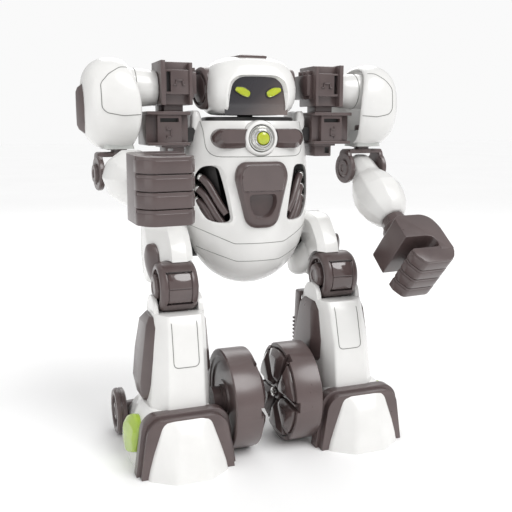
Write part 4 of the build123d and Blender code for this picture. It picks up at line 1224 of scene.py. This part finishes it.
def wedge_panel(name, rows, inside):
    """Long ridged panel from cross-sections: height, then front, ridge, rear and back points."""
    stations = []
    for z, front, ridge, rear, back in rows:
        points = [(inside, front[1]), front, ridge, rear, back, (inside, back[1])]
        stations.append((z, rounded(points, [0.5, 0.8, 0.8, 1.6, 0.8, 0.5], 2)))
    return bevel(stack(name, "XY", stations), 0.35, 2, 20)


def shin(side):
    """White shin with slanting facets, a U-shaped seam, dark calf panels and a rear strut."""
    word = WORDS[side]
    body = f"{word}_shin"
    shell = stack(f"{word}_shin_shell", "XY",
                  [(40.5, shin_section(45.4, 88.8, -66.8, -18, 10.0)),
                   (52, shin_section(45.6, 87.4, -65.6, -16, 9.8)),
                   (76, shin_section(46.0, 85.4, -62.8, -12, 9.2)),
                   (98, shin_section(45.4, 83.2, -57.0, -12.4, 8.4)),
                   (107, shin_section(45.2, 82.4, -53.0, -13.2, 8.0))])
    shell = bevel(shell, 0.8, 3, 35)
    cheek = rounded([(-42.8, 96), (-43.0, 108.5), (-39.5, 116.0), (-32, 119), (-22, 117),
                     (-16, 108), (-15, 96)], [1, 5, 5, 8, 6, 4, 1], 3)
    cheeks = [bevel(plate("cheek", cheek, "YZ", low, high, 0), 1.1, 3, 40)
              for low, high in ((45.3, 49.4), (78.8, 82.3))]
    shell = combine(combine(shell, cheeks[0], "UNION"), cheeks[1], "UNION")
    shell = cut(shell, lathe("seat", [(-14.7, 19.2), (14.7, 19.2)], BARREL, "X", 96),
                block("behind", (49.3, KNEE.y, 106), (78.7, 40, 130), 0))
    seam = draped(f"{word}_shin_seam", shell, rounded_path(
        [(54.4, 103.0), (55.0, 72.0), (73.4, 72.0), (72.8, 102.5)], 4.0, 5))
    tongue = [(KNEE.y - 7.5, 92), (KNEE.y + 7.5, 92)]
    tongue += [(KNEE.y + 14.2 * cos(radians(a)), KNEE.z + 14.2 * sin(radians(a)))
               for a in range(-58, 239, 37)]
    tongue = plate(f"{word}_shin_tongue", tongue, "YZ", KNEE.x - 6.3, KNEE.x + 6.3, 0.5)
    outer = wedge_panel("outer", [
        (39.0, (87.6, -37), (89.4, -35), (89.4, -29), (87.6, -27)),
        (45.0, (87.8, -43), (92.4, -38), (93.2, -23), (87.8, -20)),
        (56.0, (87.2, -48), (93.2, -40), (94.6, -16), (87.0, -13)),
        (76.0, (85.6, -50), (90.8, -40), (92.0, -13), (85.0, -9.5)),
        (98.0, (83.5, -47), (87.6, -38), (88.2, -14), (82.8, -11)),
        (104.5, (82.8, -42), (84.8, -37), (84.8, -22), (82.4, -19))], 78)
    inner = wedge_panel("inner", [
        (58.5, (47.0, -47), (43.0, -42), (42.0, -13), (47.0, -9)),
        (62.0, (45.4, -49), (40.6, -41), (39.4, -11), (45.4, -7)),
        (76.0, (45.6, -50), (41.2, -40), (40.6, -12), (45.6, -8)),
        (99.0, (45.0, -46), (42.4, -37), (43.0, -15), (45.2, -11)),
        (105.0, (45.6, -41), (44.4, -36), (44.4, -22), (45.8, -19))], 52)
    ridge = block("ridge", (60, -16, 50), (76, -10.8, 104), 1.2)
    strut = plate("strut", rounded([(41.5, 46), (57.5, 46), (56.0, 107.3), (43.8, 107.3)], 2),
                  "XZ", -12.5, -3.5, 0.8)
    strut = cut(strut, plate("slot", capsule(4.4, 17, (47.8, 96)), "XZ", -30, 20, 0))
    teeth = [block("tooth", (42.2, -4.2, 82 - 3.3 * n), (56.0, -1.6, 83.7 - 3.3 * n), 0.4)
             for n in range(9)]
    panels = join(f"{word}_calf_panels", [outer, inner])
    rear = join(f"{word}_calf_strut", [ridge, strut] + teeth)
    place(shell, body, [f"{word}_shin_shell"], "white", side, angle=24)
    place(seam, body, [], "seam", side)
    place(tongue, body, [], "dark", side)
    place(panels, body, [f"{word}_calf_panels"], "dark", side, angle=18)
    place(rear, body, [f"{word}_calf_panels"], "dark", side, angle=30)


def arch(low_x, high_x, top):
    """Front outline of the foot trim: a wide arch with cut corners."""
    flare, corner = 5.0, 6.5
    return rounded([(low_x, 0.0), (low_x + flare, top - corner), (low_x + flare + corner, top),
                    (high_x - flare - corner, top), (high_x - flare, top - corner), (high_x, 0.0)],
                   [0.6, 5, 5, 5, 5, 0.6], 4)


def foot(side):
    """White foot block, two-step dark arch, bulging toe cap and green side lamp."""
    word = WORDS[side]
    body = f"{word}_shin"
    outlines = ((0.0, 37.5, 100.5, 103.5, 97.0, 8.0), (4.0, 37.4, 100.2, 103.4, 97.0, 8.0),
                (20.0, 39.5, 98.6, 102.0, 96.4, 7.0), (32.0, 42.5, 95.0, 98.6, 92.0, -1.5),
                (39.5, 45.0, 91.5, 94.5, 89.0, -11.0), (41.8, 47.5, 88.5, 91.5, 86.5, -14.5))
    stations = []
    for z, inner, outer, flank, rear, back in outlines:
        stations.append((z, rounded([(inner, -66), (outer, -66), (flank, -37), (rear, -18),
                                     (rear, back - 4), (rear - 5, back), (inner + 9, back),
                                     (inner + 4, back - 5)], [1, 1, 6, 6, 2, 2, 3, 3], 3)))
    block_body = bevel(stack(f"{word}_foot_body", "XY", stations), 0.7, 3, 30)
    block_body = cut(block_body, lathe("rear_seat", [(-1.3, 19.2), (20, 19.2)], SIDE_WHEEL, "X"))
    for low_x in (47, 69):
        for low_y, high_y in ((-60, -34), (-28, -4)):
            block_body = cut(block_body, block("pocket", (low_x, low_y, -2),
                                               (low_x + 16, high_y, 26), 0.8))
    bosses = [lathe("boss", [(22.5, 9.6), (27.8, 9.6), (29.0, 9.9)], WHEEL, "X", 48),
              lathe("axle", [(5.8, 5.0), (24, 5.0)], WHEEL, "X", 32),
              lathe("rear_boss", [(-8, 7.5), (-0.7, 7.0)], SIDE_WHEEL, "X", 40),
              lathe("rear_axle", [(-6, 4.0), (5.2, 4.0)], SIDE_WHEEL, "X", 32)]
    trim = join(f"{word}_foot_trim",
                [bevel(plate("rear", arch(31.6, 104.0, 43.2), "XZ", -73.4, -65.0, 0), 1.5, 3, 50),
                 bevel(plate("front", arch(34.2, 101.6, 41.2), "XZ", -79.6, -72.0, 0), 1.9, 3,
                       50)])
    toe_sizes = ((0.0, 39.6, 97.0, -82.0, 55.5, 80.0, -94.0),
                 (7.0, 41.0, 95.6, -82.0, 56.0, 79.6, -93.6),
                 (18.0, 44.4, 92.6, -81.4, 57.4, 78.6, -91.2),
                 (28.0, 47.8, 89.2, -80.6, 58.8, 77.4, -87.4),
                 (35.5, 50.2, 86.8, -80.0, 60.0, 76.4, -83.8),
                 (40.0, 52.4, 84.6, -79.0, 61.0, 75.6, -79.8))
    toe_stations = [(z, rounded([(low, -76), (low, side_y), (fore_low, front), (fore_high, front),
                                 (high, side_y), (high, -76)], [0.5, 3, 3, 3, 3, 0.5], 3))
                    for z, low, high, side_y, fore_low, fore_high, front in toe_sizes]
    toe = bevel(stack(f"{word}_toe_cap", "XY", toe_stations), 0.8, 3, 24)
    lens = rounded([(-14.0, 10.0), (0.5, 15.5), (13.0, 9.5), (12.5, -6.0), (0.5, -14.0),
                    (-14.0, -8.5)], [5, 4, 5, 4, 5, 4], 4)
    lamp = bevel(stack(f"{word}_foot_lamp", "YZ",
                       [(-7.0, lens), (1.6, lens), (2.8, grown(lens, 0.93)),
                        (4.6, grown(lens, (0.72, 0.34), (1, 4)))]), 0.6, 3, 14)
    lamp = leaned(lamp, (101.2, -47.0, 21.0), -10, -14)
    foot_shell = join(f"{word}_foot_body", [block_body])
    fittings = join(f"{word}_foot_axles", bosses)
    place(foot_shell, body, [f"{word}_foot_body"], "white", side, angle=26)
    place(fittings, body, [f"{word}_foot_body"], "dark", side, angle=40)
    place(trim, body, [f"{word}_foot_trim"], "dark", side, angle=32)
    place(toe, body, [f"{word}_toe_cap"], "white", side, angle=20)
    place(lamp, body, [f"{word}_foot_lamp"], "lamp", side, angle=20)


def around(points, angle, middle):
    """2-D points turned about a middle."""
    c, s = cos(angle), sin(angle)
    return [(middle[0] + c * a - s * b, middle[1] + s * a + c * b) for a, b in points]


def big_wheel(side):
    """Deep drum with a notched rim; its cover has six pointed petals round a cross screw."""
    word = WORDS[side]
    middle = (WHEEL.y, WHEEL.z)
    drum = lathe("drum", [(5.8, 5.2), (5.8, 10.8), (22.4, 10.8), (22.4, 5.2)], WHEEL, "X", 48)
    rim = lathe("rim", [(20.0, 5.3), (20.0, 13.6), (18.8, 14.4), (18.8, 27.0), (20.0, 27.8),
                        (20.0, 31.2), (20.9, 32.2), (21.0, 36.4), (20.2, 37.4), (1.4, 37.5),
                        (0.4, 37.1), (0.0, 36.2), (0.3, 34.6), (2.6, 34.2), (2.8, 5.3)],
                WHEEL, "X", 96)
    for number in range(PETALS):
        angle = 2 * pi / PETALS * number
        wedge = around([(33.0, -3.0), (39.5, -4.4), (39.5, 4.4), (33.0, 3.0)], angle, middle)
        rim = cut(rim, plate("notch", wedge, "YZ", WHEEL.x - 3, WHEEL.x + 2.6, 0))
    rim = bevel(rim, 0.45, 2, 38)
    petals = []
    for number in range(PETALS):
        angle = 2 * pi / PETALS * number + pi / PETALS
        petal = around([(6.8, 0), (10.5, -4.4), (30.6, -13.4), (32.8, -7.4), (33.4, 0),
                        (32.8, 7.4), (30.6, 13.4), (10.5, 4.4)], angle, middle)
        crest = around([(12, 0), (14, -2.4), (26.6, -8.0), (28.2, -4.6), (28.6, 0), (28.2, 4.6),
                        (26.6, 8.0), (14, 2.4)], angle, middle)
        levels = [(WHEEL.x + 3.4, petal), (WHEEL.x - 1.2, petal), (WHEEL.x - 4.6, crest)]
        petals.append(bevel(stack("petal", "YZ", levels), 0.45, 2, 25))
        spoke = around([(5, -1.1), (32.5, -1.1), (32.5, 1.1), (5, 1.1)], angle + pi / PETALS, middle)
        petals.append(plate("rib", spoke, "YZ", WHEEL.x + 0.4, WHEEL.x + 3.4, 0.3))
    tyre = join(f"{word}_wheel_tyre", [drum, rim])
    cover = join(f"{word}_wheel_petals", petals)
    screw = lathe(f"{word}_wheel_screw", [(4.0, 2.2), (-3.0, 2.2), (-3.0, 3.6), (-4.4, 3.6),
                                          (-5.0, 3.0), (-5.2, 1.6)], WHEEL, "X", 36)
    for width, height in ((4.4, 0.9), (0.9, 4.4)):
        screw = cut(screw, block("slot", (WHEEL.x - 6, WHEEL.y - width / 2,
                                          WHEEL.z - height / 2),
                                 (WHEEL.x - 4.1, WHEEL.y + width / 2, WHEEL.z + height / 2), 0))
    hub = lathe(f"{word}_wheel_hub", [(3.4, 6.6), (-1.0, 6.4), (-1.8, 5.6), (-1.8, 3.9),
                                      (0.6, 3.8)], WHEEL, "X", 40)
    body = f"{word}_wheel"
    place(tyre, body, [f"{word}_wheel_drum"], "dark", side, angle=30)
    place(cover, body, [f"{word}_wheel_cover"], "gloss", side, angle=22)
    place(hub, body, [f"{word}_wheel_cover"], "dark", side)
    place(screw, body, [f"{word}_wheel_cover"], "chrome", side)


def side_wheel(side):
    """Rear roller with a ribbed ring and a sunk hub."""
    word = WORDS[side]
    disc = lathe("disc", [(0, 4.1), (0, 16.6), (1.0, 17.8), (3.4, 18.0), (3.8, 17.5), (4.4, 17.5),
                          (4.8, 18.0), (6.8, 17.8), (8.0, 16.5), (8.0, 13.6), (7.2, 12.6),
                          (5.6, 12.2), (5.6, 7.2), (6.6, 6.6), (7.4, 6.2), (7.6, 5.2),
                          (7.6, 3.6), (6.4, 3.2), (5.4, 0.5)], SIDE_WHEEL, "X", 72)
    ribs = []
    for number in range(RIBS):
        angle = 2 * pi / RIBS * number
        rib = around([(7.0, -0.5), (12.4, -0.5), (12.4, 0.5), (7.0, 0.5)], angle,
                     (SIDE_WHEEL.y, SIDE_WHEEL.z))
        ribs.append(plate("rib", rib, "YZ", SIDE_WHEEL.x + 5.0, SIDE_WHEEL.x + 6.5, 0.2))
    wheel = join(f"{word}_side_wheel_disc", [disc] + ribs)
    place(wheel, f"{word}_side_wheel", [f"{word}_side_wheel"], "dark", side, angle=30)


def build_legs():
    """Both legs, from the thighs to the wheels."""
    for side in (1, -1):
        thigh(side)
        knee(side)
        shin(side)
        foot(side)
        big_wheel(side)
        side_wheel(side)


build_legs()


# ---------------------------------------------------------------- carried-over nodes
INSIDE = {"circuit_board": "board", "battery_cells": "cells", "loudspeaker": "black",
          "chassis": "black", "body_screws": "steel"}


def finish_of(node):
    """Finish for a CAD node that keeps its own mesh."""
    for ending, finish in INSIDE.items():
        if node.endswith(ending):
            return finish
    for word in ("shell", "fist", "toe_cap", "foot_body", "wrist", "collar", "door", "bar"):
        if word in node:
            return "white"
    return "dark"


for node_name, node in frame["nodes"].items():
    node.data.materials.clear()
    node.data.materials.append(MATERIALS[finish_of(node_name)])
    for face in node.data.polygons:
        face.use_smooth = True
    node.data.set_sharp_from_angle(angle=radians(25))


# ---------------------------------------------------------------- stage
def lamp(name, kind, spot, aim, energy):
    """Lamp at a spot, facing a point; both in the robot's frame, in millimetres."""
    data = bpy.data.lights.new(name, kind)
    data.energy = energy
    obj = new_object(name, data)
    obj.location = ROW @ Vector(spot)
    way = Vector(aim) - Vector(spot)
    obj.rotation_euler = way.to_track_quat("-Z", "Y").to_euler()
    return obj


def make_stage():
    """White floor, bright even world and three soft lamps."""
    ground = bpy.data.meshes.new("floor")
    reach = 9.0
    ground.from_pydata([(-reach, -reach, 0), (reach, -reach, 0), (reach, reach, 0),
                        (-reach, reach, 0)], [], [(0, 1, 2, 3)])
    floor = new_object("floor", ground)
    ground.materials.append(moulded("pale_floor", (0.955, 0.955, 0.955), (0.975, 0.975, 0.975),
                                    (0.55, 0.65), (120.0, 0.02), mottle=3.0))
    world = bpy.data.worlds.new("studio")
    world.use_nodes = True
    sky = world.node_tree.nodes["Background"]
    sky.inputs["Color"].default_value = (1.0, 1.0, 1.0, 1)
    seen = world.node_tree.nodes.new("ShaderNodeLightPath")
    level = world.node_tree.nodes.new("ShaderNodeMapRange")
    level.inputs["To Min"].default_value = 0.60
    level.inputs["To Max"].default_value = 0.955
    world.node_tree.links.new(seen.outputs["Is Camera Ray"], level.inputs["Value"])
    world.node_tree.links.new(level.outputs["Result"], sky.inputs["Strength"])
    bpy.context.scene.world = world
    aim = (0, -20, 150)
    key = lamp("key", "SUN", (500, -800, 1150), aim, 1.9)
    key.data.angle = radians(38)
    fill = lamp("fill", "AREA", (-900, -600, 500), aim, 2.5)
    fill.data.size = 1.0
    rim = lamp("rim", "AREA", (300, 900, 900), aim, 4)
    rim.data.size = 0.8


def make_camera():
    """Camera in front, slightly to the robot's right and above its middle."""
    data = bpy.data.cameras.new("camera")
    data.lens = 50
    data.sensor_width = 36
    camera = new_object("camera", data)
    camera.location = ROW @ Vector((-182.1, -529.6, 240.0))
    pitch = radians(90 - 10.44)
    camera.rotation_euler = (pitch, 0, radians(-20))
    bpy.context.scene.camera = camera


make_stage()
make_camera()
bpy.context.scene.view_settings.view_transform = "Standard"
